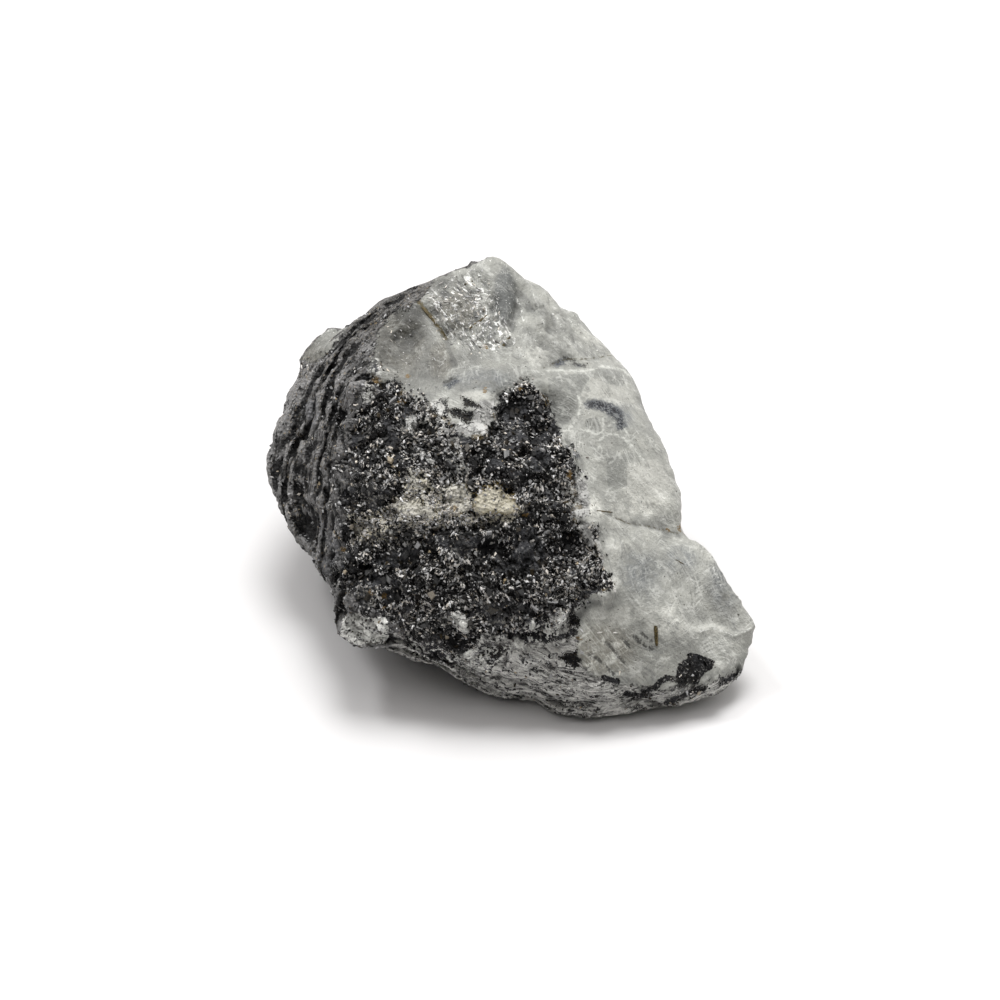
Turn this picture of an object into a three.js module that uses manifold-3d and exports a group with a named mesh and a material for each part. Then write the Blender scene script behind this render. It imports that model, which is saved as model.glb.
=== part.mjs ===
// A hand-size piece of raw labradorite rock, as it broke out of the quarry face.
//
// One stone, one solid: pale milky feldspar at the right and along the top, a rough black
// crust of mica grown onto the broken front face, and dark foliated schist at the left and
// below, whose layers show as curved ledges. The stone lies on a flat rest face.
//
// Millimetres, +Z up. The broken front face looks forward (-Y) and up, so its corners are
// written in the face's own frame: across (to the right), up the face, and out of it.
// Everything else is written in the standing frame.
import * as THREE from "three";
import { ConvexHull } from "three/addons/math/ConvexHull.js";
import { ImprovedNoise } from "three/addons/math/ImprovedNoise.js";
import { mergeVertices } from "three/addons/utils/BufferGeometryUtils.js";
import Module from "manifold-3d";

// ---- Driving dimensions, mm ----
const FACE_LEAN = THREE.MathUtils.degToRad(48); // how far the broken face leans back from level
const FACE_HEIGHT = 13; // height of the face frame's origin over the floor
const HEART = new THREE.Vector3(0, 0, -2); // a point deep inside that sees every corner

const FINE_EDGE = 1.62; // longest mesh edge on the broken face
const COARSE_EDGE = 2.8; // longest mesh edge on the back and underside
const COARSE_FROM = -8; // the mesh coarsens from the face's middle plane back to here
const SNAP_SHARE = 0.2; // how close to a crease a vertex moves onto it, as a share of its edge
const SOFTEN_PASSES = 2; // how much the arrises between the flat breaks are worn
const SOFTEN_IN = 0.5;
const SOFTEN_OUT = -0.53;

// The black crust on the broken face.
const CRUST_RISE = 0.6; // its thickness over the feldspar
const CRUST_BANK = 0.6; // width of the step round it
const CRUST_WANDER = 0.9; // how far its ragged edge wanders
const CRUST_BACK = -4; // it stays in front of this

// The schist's layers, which lie parallel to the broken face.
const LEDGE_PITCH = 2.3; // from one ledge to the next
const TREAD_SHARE = 0.62; // share of the pitch that the tread takes
const TREAD_DROP = 0.12; // share of the pitch that the tread still drops
const LEDGE_WORN = 0.35; // what is left of a ledge where it is most worn, at the back
const LAYER_SLANT = 0.12; // rise of the layers from left to right
const LAYER_BEND = 1.7; // how far they bend up and down
const LAYER_UNEVEN = 0.55; // how much thicker some are
const LOWEST_LAYER = -9; // those that reach the surface, counted from the middle one
const HIGHEST_LAYER = 5;
const RIM_BACK = -10; // behind this the schist reaches under the feldspar's rim

// The broken surface of each zone: height of its roughness, and size of its coarsest grain.
const CRUST_GRAIN = { height: 0.5, size: 2.6 };
const SCHIST_GRAIN = { height: 0.3, size: 3.2 };
const FELDSPAR_GRAIN = { height: 0.15, size: 4 };
const BACK_GRAIN = { height: 0.6, size: 7 };
const FRONT_TURN = 0.35; // a surface turned this much towards the face counts as its front

// ---- Corners of the broken face: [across, up, out] ----
const OUTLINE = [
  // the top, from the summit down the right shoulder
  [-1.5, 25.3, -8], [1.2, 23.9, -7.5], [2.2, 22.4, -8], [4.9, 22, -8.3], [6.3, 20.1, -8.5],
  [7.9, 19.1, -9.3], [9.6, 17, -9], [12.1, 14.6, -8.7],
  // the right edge down to the open joint
  [14, 11, -6.2], [15.6, 7.3, -4.3], [17.2, 3.4, -2.3], [18.1, 0.3, -1.1], [18.3, -1.8, -0.2],
  [18.2, -3, -1], [19.2, -3.6, 0.3],
  // the block below the joint, and its toe
  [21, -5.1, 1.2], [22.8, -8.1, 2.3], [24.2, -11.2, 3.5], [25.4, -12.8, 3.6], [25, -14.8, 3.6],
  [24.2, -17.1, 4],
  // the keel along the bottom
  [22.1, -19, 5], [18.8, -20.1, 5.5], [14.4, -20.8, 5.6], [8.9, -21.6, 5.9], [5.9, -20.6, 5.9],
  [3.6, -19.5, 5.5], [-0.2, -19, 5.6], [-3.9, -17.9, 5.7], [-6.7, -16.3, 5.8], [-9.4, -14.6, 6.5],
  // the white nub at the lower left
  [-10.7, -14.6, 6.9], [-14, -14.7, 7.6], [-16.4, -13.4, 7.8], [-16.2, -11, 7],
  // up the left flank
  [-16.5, -8.6, 5.2], [-18.5, -5.3, 1.1], [-21.2, -3.2, -1.6], [-22.9, 0, -3.7], [-23.8, 3.2, -5],
  [-23.3, 6.8, -6], [-21.9, 9.3, -6.6], [-20.9, 12.4, -7.8],
  // the pale ear behind the flank, and the ridge up to the summit
  [-20.8, 15.1, -9], [-18.5, 18, -11], [-16.1, 17.9, -10], [-14.7, 18.7, -8], [-12.5, 20.5, -7.4],
  [-9.8, 21.6, -7.3], [-5.8, 23.4, -7.7], [-3.4, 24.4, -8.2],
];
const UPPER_FELDSPAR = [
  [-6, 21, -4.6], [-9.5, 18.8, -2.6], [-11.5, 16.5, -0.8], [-12.8, 13.5, 1.2],
  [-8, 16, -1.4], [-6, 12.2, 1.4], [-3, 19, -3.8], [0.5, 21.5, -6], [-1, 15.5, -1],
  [2.5, 15.5, -1.2], [3.8, 18.8, -5], [6.5, 15.8, -3], [9.2, 14.8, -5.6], [7, 12.2, 0.4],
  [10.2, 13.2, -3],
];
const RIGHT_FELDSPAR = [
  [9, 8.8, 2], [12.8, 7.5, -0.4], [9.8, 3.8, 4.6], [14, 2, 2.2], [11, -0.8, 5.6],
  [11, -1.7, 5.3], [15, -2.6, 2], [11.8, -5, 7.2], [16.5, -6.2, 4.6], [20.2, -9.2, 4],
  [14, -10.5, 8.4], [19.2, -13.5, 6.6], [22.8, -13.8, 4.8],
];
const CRUST_FACE = [
  [-7, 8.8, 4.8], [-3.5, 7.5, 6.4], [-0.5, 10, 4.6], [4, 12.2, 3], [2, 7, 5.4], [7.2, 3, 6.4],
  [9.8, -4, 8], [10.8, -8.8, 9.2], [5.5, -10, 10.2], [1, 0, 9.4], [-7, 5, 7.4], [-11.5, 7, 5.2],
  [-13.5, 2, 6.2], [-8.5, -0.5, 8.8], [0, -6, 10.6], [-10.5, -6.5, 9.2], [-2, -12, 10.2],
  [-12.5, -10.5, 8.8],
];
const UNDER_BAND = [
  [-10, -13.2, 8.6], [-5.5, -15.2, 8.6], [-0.5, -16.7, 8.8], [5, -17.8, 8.8], [11, -18.8, 8.2],
  [16.5, -18.8, 7.2], [21.2, -17.5, 6],
];
const LEFT_FLANK = [
  [-15.2, 11.5, 1.4], [-16.2, 6.5, 2.4], [-16, 1, 4.4], [-14.8, -3.5, 6.6], [-18, 10.5, -2.2],
  [-19.5, 6, -2.4], [-19.2, 0.5, -0.2], [-17.2, -5, 3.4], [-16.8, 13.8, -3.6], [-14.2, 16, -2.6],
  [-11, 18.8, -4.2], [-18.2, 14.8, -7], [-13.5, -12, 9.2],
];

// ---- Corners of the hidden back and underside: [x, y, z], standing ----
const BACK = [
  [-8, 20.5, 20], [2, 21.5, 19], [9, 18.5, 14], [14.5, 13, 10], [17.5, 5, 7], [20.5, -3, 6],
  [-15, 19.5, 14], [-20.5, 14, 12], [-21, 7, 7], [-18.5, 0, 5], [-16, 18, 8], [-7, 20.5, 11],
  [3, 20, 8], [-19, 10, 4.5],
];
const UNDERSIDE = [
  [-13.5, -12, 5], [-9.5, -12.8, 3.5], [-14.5, -3, 2.2], [-16.5, 5, 1.8], [-13, 14.5, 2.8],
  [-3, 18, 3.2], [7.5, 15, 3], [14, 6.5, 2.4], [20, -5, 1.8], [23, -10.5, 2.4],
];
const FOOT = [
  [-10.5, -3, -1], [-5, -10, -1], [3, -14.8, -1], [12, -15.8, -1], [18, -13, -1], [16, -6, -1],
  [11, 3, -1], [5, 10, -1], [-3, 13, -1], [-10, 10, -1], [-12.5, 4, -1], [2, 0, -1],
];

// ---- What lies on the broken face: [across, up, ...] ----
const CRUST_OUTLINE = [
  [-14.5, 12.2], [-10, 10.5], [-7, 8.8], [-4.5, 8], [-3.5, 6.8], [-0.8, 7], [-0.5, 10.4], [3, 12],
  [4.8, 10], [6.2, 6], [9, 1.5], [10, -1], [9.8, -4.5], [11.2, -9.2], [8.5, -10.2], [6, -12],
  [-1, -14], [-3, -15.4], [-6, -15], [-10, -13], [-15, -10.5], [-16, -5], [-16, 5],
];
const FELDSPAR_OUTLINE = [
  [-14.5, 12.2], [-14, 17], [-9, 21], [-6, 24], [0, 27], [12, 18], [22, 0], [28, -14], [22, -17],
  [11, -19], [7, -16], [8.5, -10.2], [11.2, -9.2], [9.8, -4.5], [10, -1], [6.2, 6], [4.8, 10],
  [3, 12], [-0.5, 10.4], [-1.5, 6], [-4, 5.5], [-7, 8.8], [-10, 10.5],
];
// Lumps stand out and hollows go in: [[across, up, half width, half height], height].
const LUMPS = [
  [[-10, 15.8, 3.4, 4.4], -0.9], // the smooth bowl under the ridge
  [[2, 8.8, 4.2, 4.4], -1.4], // dark hollow at the crust's upper corner
  [[7.6, -4.6, 1.6, 1.8], -0.7], // pits in the crust
  [[-0.2, -4.8, 1.8, 1.4], -0.6],
  [[-5.2, -14.2, 1.8, 1.3], -0.8],
  [[-19.2, -2.4, 1.7, 2.6], -1.2], // hollow low on the left flank
  [[-13.6, -12.8, 2.6, 1.9], 0.7], // the white nub
  [[0.6, 21.4, 1.5, 3], 0.5], // lobes below the summit
  [[4, 18.5, 1.6, 3.4], 0.4],
  [[2.2, 19.4, 0.9, 2.6], -0.5],
];
// Open joints and creases: [[[across, up, depth], ...], half width].
const GROOVES = [
  [[[9.8, -1.4, 0], [14.5, -2.1, 0.5], [18.8, -3.1, 1.3]], 0.9],
  [[[4.6, 12, 0.2], [8, 13.2, 0.4], [12.4, 14.6, 0.1]], 0.7],
];

const stand = new THREE.Matrix4().makeRotationX(FACE_LEAN).setPosition(0, 0, FACE_HEIGHT);
const layDown = stand.clone().invert();

function vectors(rows) {
  return rows.map((row) => new THREE.Vector3(...row));
}

// ---- The net of corners ----
// The corners are joined to their neighbours as seen from the heart: the convex hull of
// their directions says which three make a face.
function cornerNet(corners) {
  const cornerOf = new Map();
  const directions = corners.map((corner) => {
    const direction = corner.clone().sub(HEART).normalize();
    cornerOf.set(direction, corner);
    return direction;
  });
  const hull = new ConvexHull().setFromPoints(directions);
  const triangles = [];
  for (const face of hull.faces) {
    const first = face.edge;
    for (let edge = first.next; edge.next !== first; edge = edge.next) {
      const ends = [first.head().point, edge.head().point, edge.next.head().point];
      triangles.push(ends.map((end) => cornerOf.get(end)));
    }
  }
  return triangles;
}

// ---- Mesh ----
function longestAllowed(point) {
  const front = THREE.MathUtils.smoothstep(point.z, COARSE_FROM, 0);
  return THREE.MathUtils.lerp(COARSE_EDGE, FINE_EDGE, front);
}

// Halves every edge that is too long for its place, until none is.
function splitLongEdges(triangles) {
  const waiting = triangles.slice();
  const done = [];
  while (waiting.length) {
    const corners = waiting.pop();
    let worst = 1;
    let at = -1;
    for (let i = 0; i < 3; i++) {
      const a = corners[i];
      const b = corners[(i + 1) % 3];
      const middle = a.clone().add(b).multiplyScalar(0.5);
      const excess = a.distanceTo(b) / longestAllowed(middle);
      if (excess > worst + 1e-9) {
        worst = excess;
        at = i;
      }
    }
    if (at < 0) {
      done.push(corners);
      continue;
    }
    const [a, b, c] = [corners[at], corners[(at + 1) % 3], corners[(at + 2) % 3]];
    const middle = a.clone().add(b).multiplyScalar(0.5);
    waiting.push([a, middle, c], [middle, b, c]);
  }
  return done;
}

function meshOf(triangles) {
  const flat = triangles.flat().flatMap((corner) => corner.toArray());
  const geometry = new THREE.BufferGeometry();
  geometry.setAttribute("position", new THREE.Float32BufferAttribute(flat, 3));
  const merged = mergeVertices(geometry, 1e-3);
  merged.computeVertexNormals();
  return merged;
}

function trianglesOf(geometry) {
  const points = [];
  for (let i = 0; i < geometry.attributes.position.count; i++) {
    points.push(new THREE.Vector3().fromBufferAttribute(geometry.attributes.position, i));
  }
  const index = geometry.index.array;
  const triangles = [];
  for (let i = 0; i < index.length; i += 3) {
    triangles.push([points[index[i]], points[index[i + 1]], points[index[i + 2]]]);
  }
  return triangles;
}

// Where the field passes zero between a point below it and one above it, as a share of the way.
function crossing(below, above, field) {
  let low = 0;
  let high = 1;
  for (let i = 0; i < 12; i++) {
    const middle = (low + high) / 2;
    if (field(below.clone().lerp(above, middle)) < 0) low = middle;
    else high = middle;
  }
  return (low + high) / 2;
}

// Lays mesh edges along the line where the field is zero. A vertex close to the line moves
// onto it, and each other edge that the line crosses gets a new vertex there.
function creaseAlong(geometry, { field, reaches }) {
  const triangles = trianglesOf(geometry);
  const valueOf = new Map();
  for (const corner of triangles.flat()) {
    if (!valueOf.has(corner)) valueOf.set(corner, field(corner));
  }
  const crossed = (a, b) => valueOf.get(a) * valueOf.get(b) < 0 && reaches(a) && reaches(b);
  const ordered = (a, b) => (valueOf.get(a) < 0 ? [a, b] : [b, a]);
  for (const corners of triangles) {
    for (let i = 0; i < 3; i++) {
      const [a, b] = [corners[i], corners[(i + 1) % 3]];
      if (!crossed(a, b)) continue;
      const [below, above] = ordered(a, b);
      const share = crossing(below, above, field);
      const near = share < 0.5 ? below : above;
      if (Math.min(share, 1 - share) > SNAP_SHARE) continue;
      near.lerpVectors(below.clone(), above.clone(), share);
      valueOf.set(near, 0);
    }
  }
  const middles = new Map();
  const middleOf = (a, b) => {
    const [below, above] = ordered(a, b);
    if (!middles.has(below)) middles.set(below, new Map());
    const known = middles.get(below);
    if (!known.has(above)) {
      known.set(above, below.clone().lerp(above, crossing(below, above, field)));
    }
    return known.get(above);
  };
  return meshOf(triangles.flatMap((corners) => splitCrossed(corners, crossed, middleOf)));
}

// A triangle with one or two crossed edges becomes two or three.
function splitCrossed(corners, crossed, middleOf) {
  const cuts = [0, 1, 2].filter((i) => crossed(corners[i], corners[(i + 1) % 3]));
  if (cuts.length === 0) return [corners];
  const turn = cuts.length === 1 ? cuts[0] : cuts[0] === 0 && cuts[1] === 2 ? 2 : cuts[0];
  const [a, b, c] = [0, 1, 2].map((i) => corners[(turn + i) % 3]);
  const ab = middleOf(a, b);
  if (cuts.length === 1) return [[a, ab, c], [ab, b, c]];
  const bc = middleOf(b, c);
  return [[ab, b, bc], [a, ab, bc], [a, bc, c]];
}

function neighboursOf(geometry) {
  const near = Array.from({ length: geometry.attributes.position.count }, () => new Set());
  const index = geometry.index.array;
  for (let i = 0; i < index.length; i += 3) {
    for (let j = 0; j < 3; j++) {
      near[index[i + j]].add(index[i + ((j + 1) % 3)]);
      near[index[i + ((j + 1) % 3)]].add(index[i + j]);
    }
  }
  return near;
}

// Moves each vertex by a share of the way to the middle of its neighbours.
function relax(geometry, near, share) {
  const position = geometry.attributes.position;
  const before = position.clone();
  const at = new THREE.Vector3();
  for (let i = 0; i < position.count; i++) {
    const middle = new THREE.Vector3();
    for (const j of near[i]) middle.add(at.fromBufferAttribute(before, j));
    middle.divideScalar(near[i].size);
    at.fromBufferAttribute(before, i).lerp(middle, share);
    position.setXYZ(i, at.x, at.y, at.z);
  }
}

// Wears the arrises. Each pass inwards is followed by one outwards, so the stone keeps its size.
function soften(geometry) {
  const near = neighboursOf(geometry);
  for (let pass = 0; pass < SOFTEN_PASSES; pass++) {
    relax(geometry, near, SOFTEN_IN);
    relax(geometry, near, SOFTEN_OUT);
  }
  geometry.computeVertexNormals();
}

// ---- Relief, in the face frame ----
// How far inside the outline a point lies; negative outside it.
function depthInside(outline, across, up) {
  let inside = false;
  let nearest = Infinity;
  for (let i = 0; i < outline.length; i++) {
    const [ax, ay] = outline[i];
    const [bx, by] = outline[(i + 1) % outline.length];
    if (ay > up !== by > up && across < ax + ((up - ay) / (by - ay)) * (bx - ax)) inside = !inside;
    nearest = Math.min(nearest, distanceToStretch(ax, ay, bx, by, across, up));
  }
  return inside ? nearest : -nearest;
}

function distanceToStretch(ax, ay, bx, by, x, y) {
  const length2 = (bx - ax) ** 2 + (by - ay) ** 2;
  const share = THREE.MathUtils.clamp(((x - ax) * (bx - ax) + (y - ay) * (by - ay)) / length2, 0, 1);
  return Math.hypot(ax + share * (bx - ax) - x, ay + share * (by - ay) - y);
}

// A round bump, 1 at its middle and 0 from its rim outwards.
function bump(across, up, [atAcross, atUp, halfWidth, halfHeight]) {
  const out = Math.hypot((across - atAcross) / halfWidth, (up - atUp) / halfHeight);
  return 1 - THREE.MathUtils.smoothstep(out, 0, 1);
}

// A joint or crease: deepest along the line of points, each with its own depth.
function groove(line, width, across, up) {
  let depth = 0;
  for (let i = 1; i < line.length; i++) {
    const [ax, ay, deepA] = line[i - 1];
    const [bx, by, deepB] = line[i];
    const off = distanceToStretch(ax, ay, bx, by, across, up);
    const along = THREE.MathUtils.clamp((across - ax) / (bx - ax), 0, 1);
    const here = THREE.MathUtils.lerp(deepA, deepB, along);
    depth = Math.max(depth, here * (1 - THREE.MathUtils.smoothstep(off, 0, width)));
  }
  return depth;
}

const noise = new ImprovedNoise();

// A rough surface of several layers of noise, each half the size of the one before.
function rough(point, scale, layers) {
  let sum = 0;
  let strength = 1;
  let size = scale;
  for (let i = 0; i < layers; i++) {
    sum += strength * noise.noise(point.x / size + 31 * i, point.y / size + 7, point.z / size - 13);
    strength *= 0.55;
    size *= 0.5;
  }
  return sum;
}

// Which layer of the schist a point lies in, in pitches from the middle one. The layers are
// bent, so the ledges run in curves round the stone, and some are thicker than others.
function layerOf(point) {
  const height = point.z + LAYER_SLANT * point.x + LAYER_BEND * rough(point, 9, 2);
  return (height + LAYER_UNEVEN * Math.sin(height)) / LEDGE_PITCH;
}

// How far a point moves, out of the face, to lie on the flight of ledges.
function ledge(layer) {
  const share = layer - Math.floor(layer);
  const onTread = (share * TREAD_DROP) / TREAD_SHARE;
  const onRiser = 1 - ((1 - share) * (1 - TREAD_DROP)) / (1 - TREAD_SHARE);
  return ((share < TREAD_SHARE ? onTread : onRiser) - share) * LEDGE_PITCH;
}

// How far a point is inside the crust's ragged outline.
function crustDepth(point) {
  return depthInside(CRUST_OUTLINE, point.x, point.y) + CRUST_WANDER * rough(point, 2.4, 2);
}

// Shares of the three zones at a point of the surface with this outward direction.
function zonesAt(point, outward) {
  const front = THREE.MathUtils.smoothstep(outward.z, 0, FRONT_TURN);
  const crust = front * THREE.MathUtils.smoothstep(crustDepth(point), -CRUST_BANK / 2, CRUST_BANK / 2);
  const palePatch = THREE.MathUtils.smoothstep(depthInside(FELDSPAR_OUTLINE, point.x, point.y), -1, 1);
  const paleBack = THREE.MathUtils.smoothstep(point.x, -2, 6);
  const pale = Math.max(front * palePatch, (1 - front) * paleBack);
  return { front, crust, pale, schist: (1 - pale) * (1 - crust) };
}

// The lines that the mesh follows: both sides of the crust's bank, and the head and foot of
// every riser.
function creases() {
  const onFace = (point) => point.z > CRUST_BACK;
  const inSchist = (point) => {
    const paleOrCrust = crustDepth(point) > 1 || depthInside(FELDSPAR_OUTLINE, point.x, point.y) > 1;
    return !paleOrCrust || point.z < RIM_BACK;
  };
  const lines = [-CRUST_BANK / 2, CRUST_BANK / 2].map((side) => {
    return { field: (point) => crustDepth(point) - side, reaches: onFace };
  });
  for (let layer = LOWEST_LAYER; layer < HIGHEST_LAYER; layer++) {
    for (const share of [0, TREAD_SHARE]) {
      lines.push({ field: (point) => layerOf(point) - layer - share, reaches: inSchist });
    }
  }
  return lines;
}

// Raises and lowers the surface along its own outward direction: the crust, the lumps and
// hollows, the open joints, and the roughness of each zone.
function reliefAt(point, { front, crust, pale, schist }) {
  const grain = ({ height, size }) => height * rough(point, size, 2);
  let rise = crust * CRUST_RISE;
  for (const [place, height] of LUMPS) rise += front * height * bump(point.x, point.y, place);
  for (const [line, width] of GROOVES) rise -= front * groove(line, width, point.x, point.y);
  rise += crust * grain(CRUST_GRAIN) + schist * grain(SCHIST_GRAIN);
  return rise + pale * grain(FELDSPAR_GRAIN) + (1 - front) * grain(BACK_GRAIN);
}

// Moves the schist onto its ledges, straight out of the face. Those at the back are worn.
function ledgeAt(point, { front, schist }) {
  const fresh = Math.max(front, THREE.MathUtils.smoothstep(rough(point, 8, 1), -0.5, 0.3));
  return schist * THREE.MathUtils.lerp(LEDGE_WORN, 1, fresh) * ledge(layerOf(point));
}

function roughen(geometry) {
  const position = geometry.attributes.position;
  const normal = geometry.attributes.normal.clone();
  const point = new THREE.Vector3();
  const outward = new THREE.Vector3();
  const outOfFace = new THREE.Vector3(0, 0, 1);
  for (let i = 0; i < position.count; i++) {
    point.fromBufferAttribute(position, i);
    outward.fromBufferAttribute(normal, i);
    const zones = zonesAt(point, outward);
    const rise = reliefAt(point, zones);
    const step = ledgeAt(point, zones);
    point.addScaledVector(outOfFace, step).addScaledVector(outward, rise);
    position.setXYZ(i, point.x, point.y, point.z);
  }
}

// ---- Cut and place ----
function solidOf(wasm, geometry) {
  const position = geometry.attributes.position.array;
  const triVerts = new Uint32Array(geometry.index.array);
  return new wasm.Manifold(new wasm.Mesh({ numProp: 3, vertProperties: position, triVerts }));
}

function geometryOf(solid) {
  const mesh = solid.getMesh();
  const geometry = new THREE.BufferGeometry();
  geometry.setAttribute("position", new THREE.BufferAttribute(mesh.vertProperties, 3));
  geometry.setIndex(new THREE.BufferAttribute(mesh.triVerts, 1));
  return geometry;
}

// Everything below the floor is cut off, which leaves the flat rest face.
function cutFlat(wasm, geometry) {
  const width = 200;
  const depth = 20;
  const box = new THREE.BoxGeometry(width, width, depth).translate(0, 0, -depth / 2);
  box.deleteAttribute("normal");
  box.deleteAttribute("uv");
  return geometryOf(solidOf(wasm, geometry).subtract(solidOf(wasm, mergeVertices(box))));
}

// Puts the origin under the middle of the stone, on the floor.
function centreOnFloor(geometry) {
  geometry.computeBoundingBox();
  const middle = geometry.boundingBox.getCenter(new THREE.Vector3());
  geometry.translate(-middle.x, -middle.y, -geometry.boundingBox.min.z);
}

function rockGeometry(wasm) {
  const faceCorners = vectors([
    ...OUTLINE,
    ...UPPER_FELDSPAR,
    ...RIGHT_FELDSPAR,
    ...CRUST_FACE,
    ...UNDER_BAND,
    ...LEFT_FLANK,
  ]);
  const hiddenCorners = vectors([...BACK, ...UNDERSIDE, ...FOOT]);
  for (const corner of hiddenCorners) corner.applyMatrix4(layDown);
  const blank = meshOf(splitLongEdges(cornerNet([...faceCorners, ...hiddenCorners])));
  soften(blank);
  const creased = creases().reduce((geometry, line) => creaseAlong(geometry, line), blank);
  roughen(creased);
  creased.applyMatrix4(stand);
  const rock = cutFlat(wasm, creased);
  centreOnFloor(rock);
  rock.computeVertexNormals();
  return rock;
}

const wasm = await Module();
wasm.setup();
const stone = new THREE.Mesh(
  rockGeometry(wasm),
  new THREE.MeshStandardMaterial({ color: 0x8c8d8a, roughness: 0.6, metalness: 0 }),
);
stone.name = "labradorite_rock";
const root = new THREE.Group();
root.add(stone);
export default root;
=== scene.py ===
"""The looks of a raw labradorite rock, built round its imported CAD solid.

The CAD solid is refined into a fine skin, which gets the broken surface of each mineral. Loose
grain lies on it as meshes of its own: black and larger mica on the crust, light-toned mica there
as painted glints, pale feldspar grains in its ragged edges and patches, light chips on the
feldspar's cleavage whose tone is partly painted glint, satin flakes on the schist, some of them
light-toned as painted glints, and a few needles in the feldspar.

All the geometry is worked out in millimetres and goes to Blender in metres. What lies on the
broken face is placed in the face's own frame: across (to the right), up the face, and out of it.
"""

import math

import bpy
import numpy as np
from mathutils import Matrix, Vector


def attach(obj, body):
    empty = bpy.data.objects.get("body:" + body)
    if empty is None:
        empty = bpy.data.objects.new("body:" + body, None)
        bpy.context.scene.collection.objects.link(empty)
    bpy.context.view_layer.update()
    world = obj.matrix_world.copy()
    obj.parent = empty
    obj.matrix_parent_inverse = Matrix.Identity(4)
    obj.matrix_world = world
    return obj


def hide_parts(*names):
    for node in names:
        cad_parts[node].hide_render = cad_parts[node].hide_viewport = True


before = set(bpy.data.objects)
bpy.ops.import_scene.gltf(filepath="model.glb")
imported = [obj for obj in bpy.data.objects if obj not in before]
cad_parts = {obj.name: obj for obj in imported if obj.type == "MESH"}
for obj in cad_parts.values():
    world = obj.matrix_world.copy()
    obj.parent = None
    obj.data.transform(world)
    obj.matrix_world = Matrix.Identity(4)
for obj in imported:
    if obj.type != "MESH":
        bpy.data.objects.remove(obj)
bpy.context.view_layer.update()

MM = 0.001

# ---- Frames ----
FACE_LEAN = math.radians(48)  # how far the broken face leans back from level
FACE_ORIGIN = np.array([-0.821, -2.131, 13.0])  # the face frame's origin in the standing frame
ACROSS = np.array([1.0, 0.0, 0.0])
UP_FACE = np.array([0.0, math.cos(FACE_LEAN), math.sin(FACE_LEAN)])
OUT_OF_FACE = np.array([0.0, -math.sin(FACE_LEAN), math.cos(FACE_LEAN)])
EYE_DISTANCE = 420.0  # the camera looks straight at the face, from this far
VIEW_WIDTH = 100.0  # what it takes in from side to side at the face

# ---- Mesh ----
CRUST_EDGE = 0.41  # longest edge of the skin where the front is broken small
PALE_EDGE = 0.47  # on the smoother feldspar
COARSE_EDGE = 1.1  # and at the back
FIRST_EDGE = 0.95  # the arrises are worn at this mesh size
CRUST_WEAR = 0.12  # how far each wearing pass moves a point towards the middle of its neighbours
FELDSPAR_WEAR = 0.5
CREASE_WEAR = 0.8  # in a crease that is filled
LAST_WEAR = 0.4  # on the fine mesh
IN_AND_OUT = (1.0, -1.04)  # steps inwards and outwards by turns, which keep the stone's size
ONLY_IN = (1.0,)
FOOT = 0.05  # the rest face lies lower than this, and stays flat
GRAIN_FOOT = 0.02  # no loose grain reaches lower than this


# ---- Sums ----
def ramp(value, low, high):
    """Smoothly from 0 at low to 1 at high."""
    share = np.clip((value - low) / (high - low), 0, 1)
    return share * share * (3 - 2 * share)


def blend(a, b, share):
    return a + (b - a) * share


def unit(vectors):
    length = np.linalg.norm(vectors, axis=-1, keepdims=True)
    return vectors / np.maximum(length, 1e-12)


def on_face(points):
    """Standing points in the face frame: [across, up, out]."""
    local = points - FACE_ORIGIN
    return np.stack([local @ ACROSS, local @ UP_FACE, local @ OUT_OF_FACE], axis=1)


def seen(face_points):
    """[across, up] where each point appears on the face's middle plane to a near eye."""
    nearer = EYE_DISTANCE / (EYE_DISTANCE - face_points[:, 2])
    return face_points[:, :2] * nearer[:, None]


# ---- Noise ----
SEED = 7
LARGEST = 0x7FFFFFFF
SEED_FACTOR = 1442695
CELL_FACTORS = (374761393, 668265263, 974711)  # large odd numbers, which stir all the bits
STIRRINGS = ((13, 1274126177), (15, 461845907))  # [bits to shift by, factor]
LAST_SHIFT = 12
NOISE_GAIN = 1.6  # brings the noise to about -1 to 1
FINER_SHARE = 0.55  # how strong each finer layer of noise is beside the one before it


def hashed(cells, seed):
    """A repeatable random number, 0 to 1, for each whole-number cell."""
    mixed = seed * SEED_FACTOR
    for axis, factor in enumerate(CELL_FACTORS):
        mixed = mixed + cells[..., axis] * factor
    mixed = mixed & LARGEST
    for shift, factor in STIRRINGS:
        mixed = ((mixed ^ (mixed >> shift)) * factor) & LARGEST
    return (mixed ^ (mixed >> LAST_SHIFT)) / LARGEST


def noise(points, size, seed):
    """Smooth noise, about -1 to 1, whose lumps are about this size."""
    at = points / size
    corner = np.floor(at).astype(np.int64)
    share = at - corner
    eased = share**3 * (share * (share * 6 - 15) + 10)
    total = np.zeros(len(points))
    for step in np.ndindex(2, 2, 2):
        cell = corner + step
        weight = np.prod(np.where(step, eased, 1 - eased), axis=1)
        slope = np.stack([hashed(cell, seed + 17 * k) * 2 - 1 for k in range(3)], axis=1)
        total += weight * np.sum(slope * (share - step), axis=1)
    return total * NOISE_GAIN


def rough(points, size, seed, layers=3):
    """Several layers of noise, each half the size of the one before."""
    total = np.zeros(len(points))
    for layer in range(layers):
        total += noise(points, size / 2**layer, seed + 101 * layer) * FINER_SHARE**layer
    return total


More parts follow.
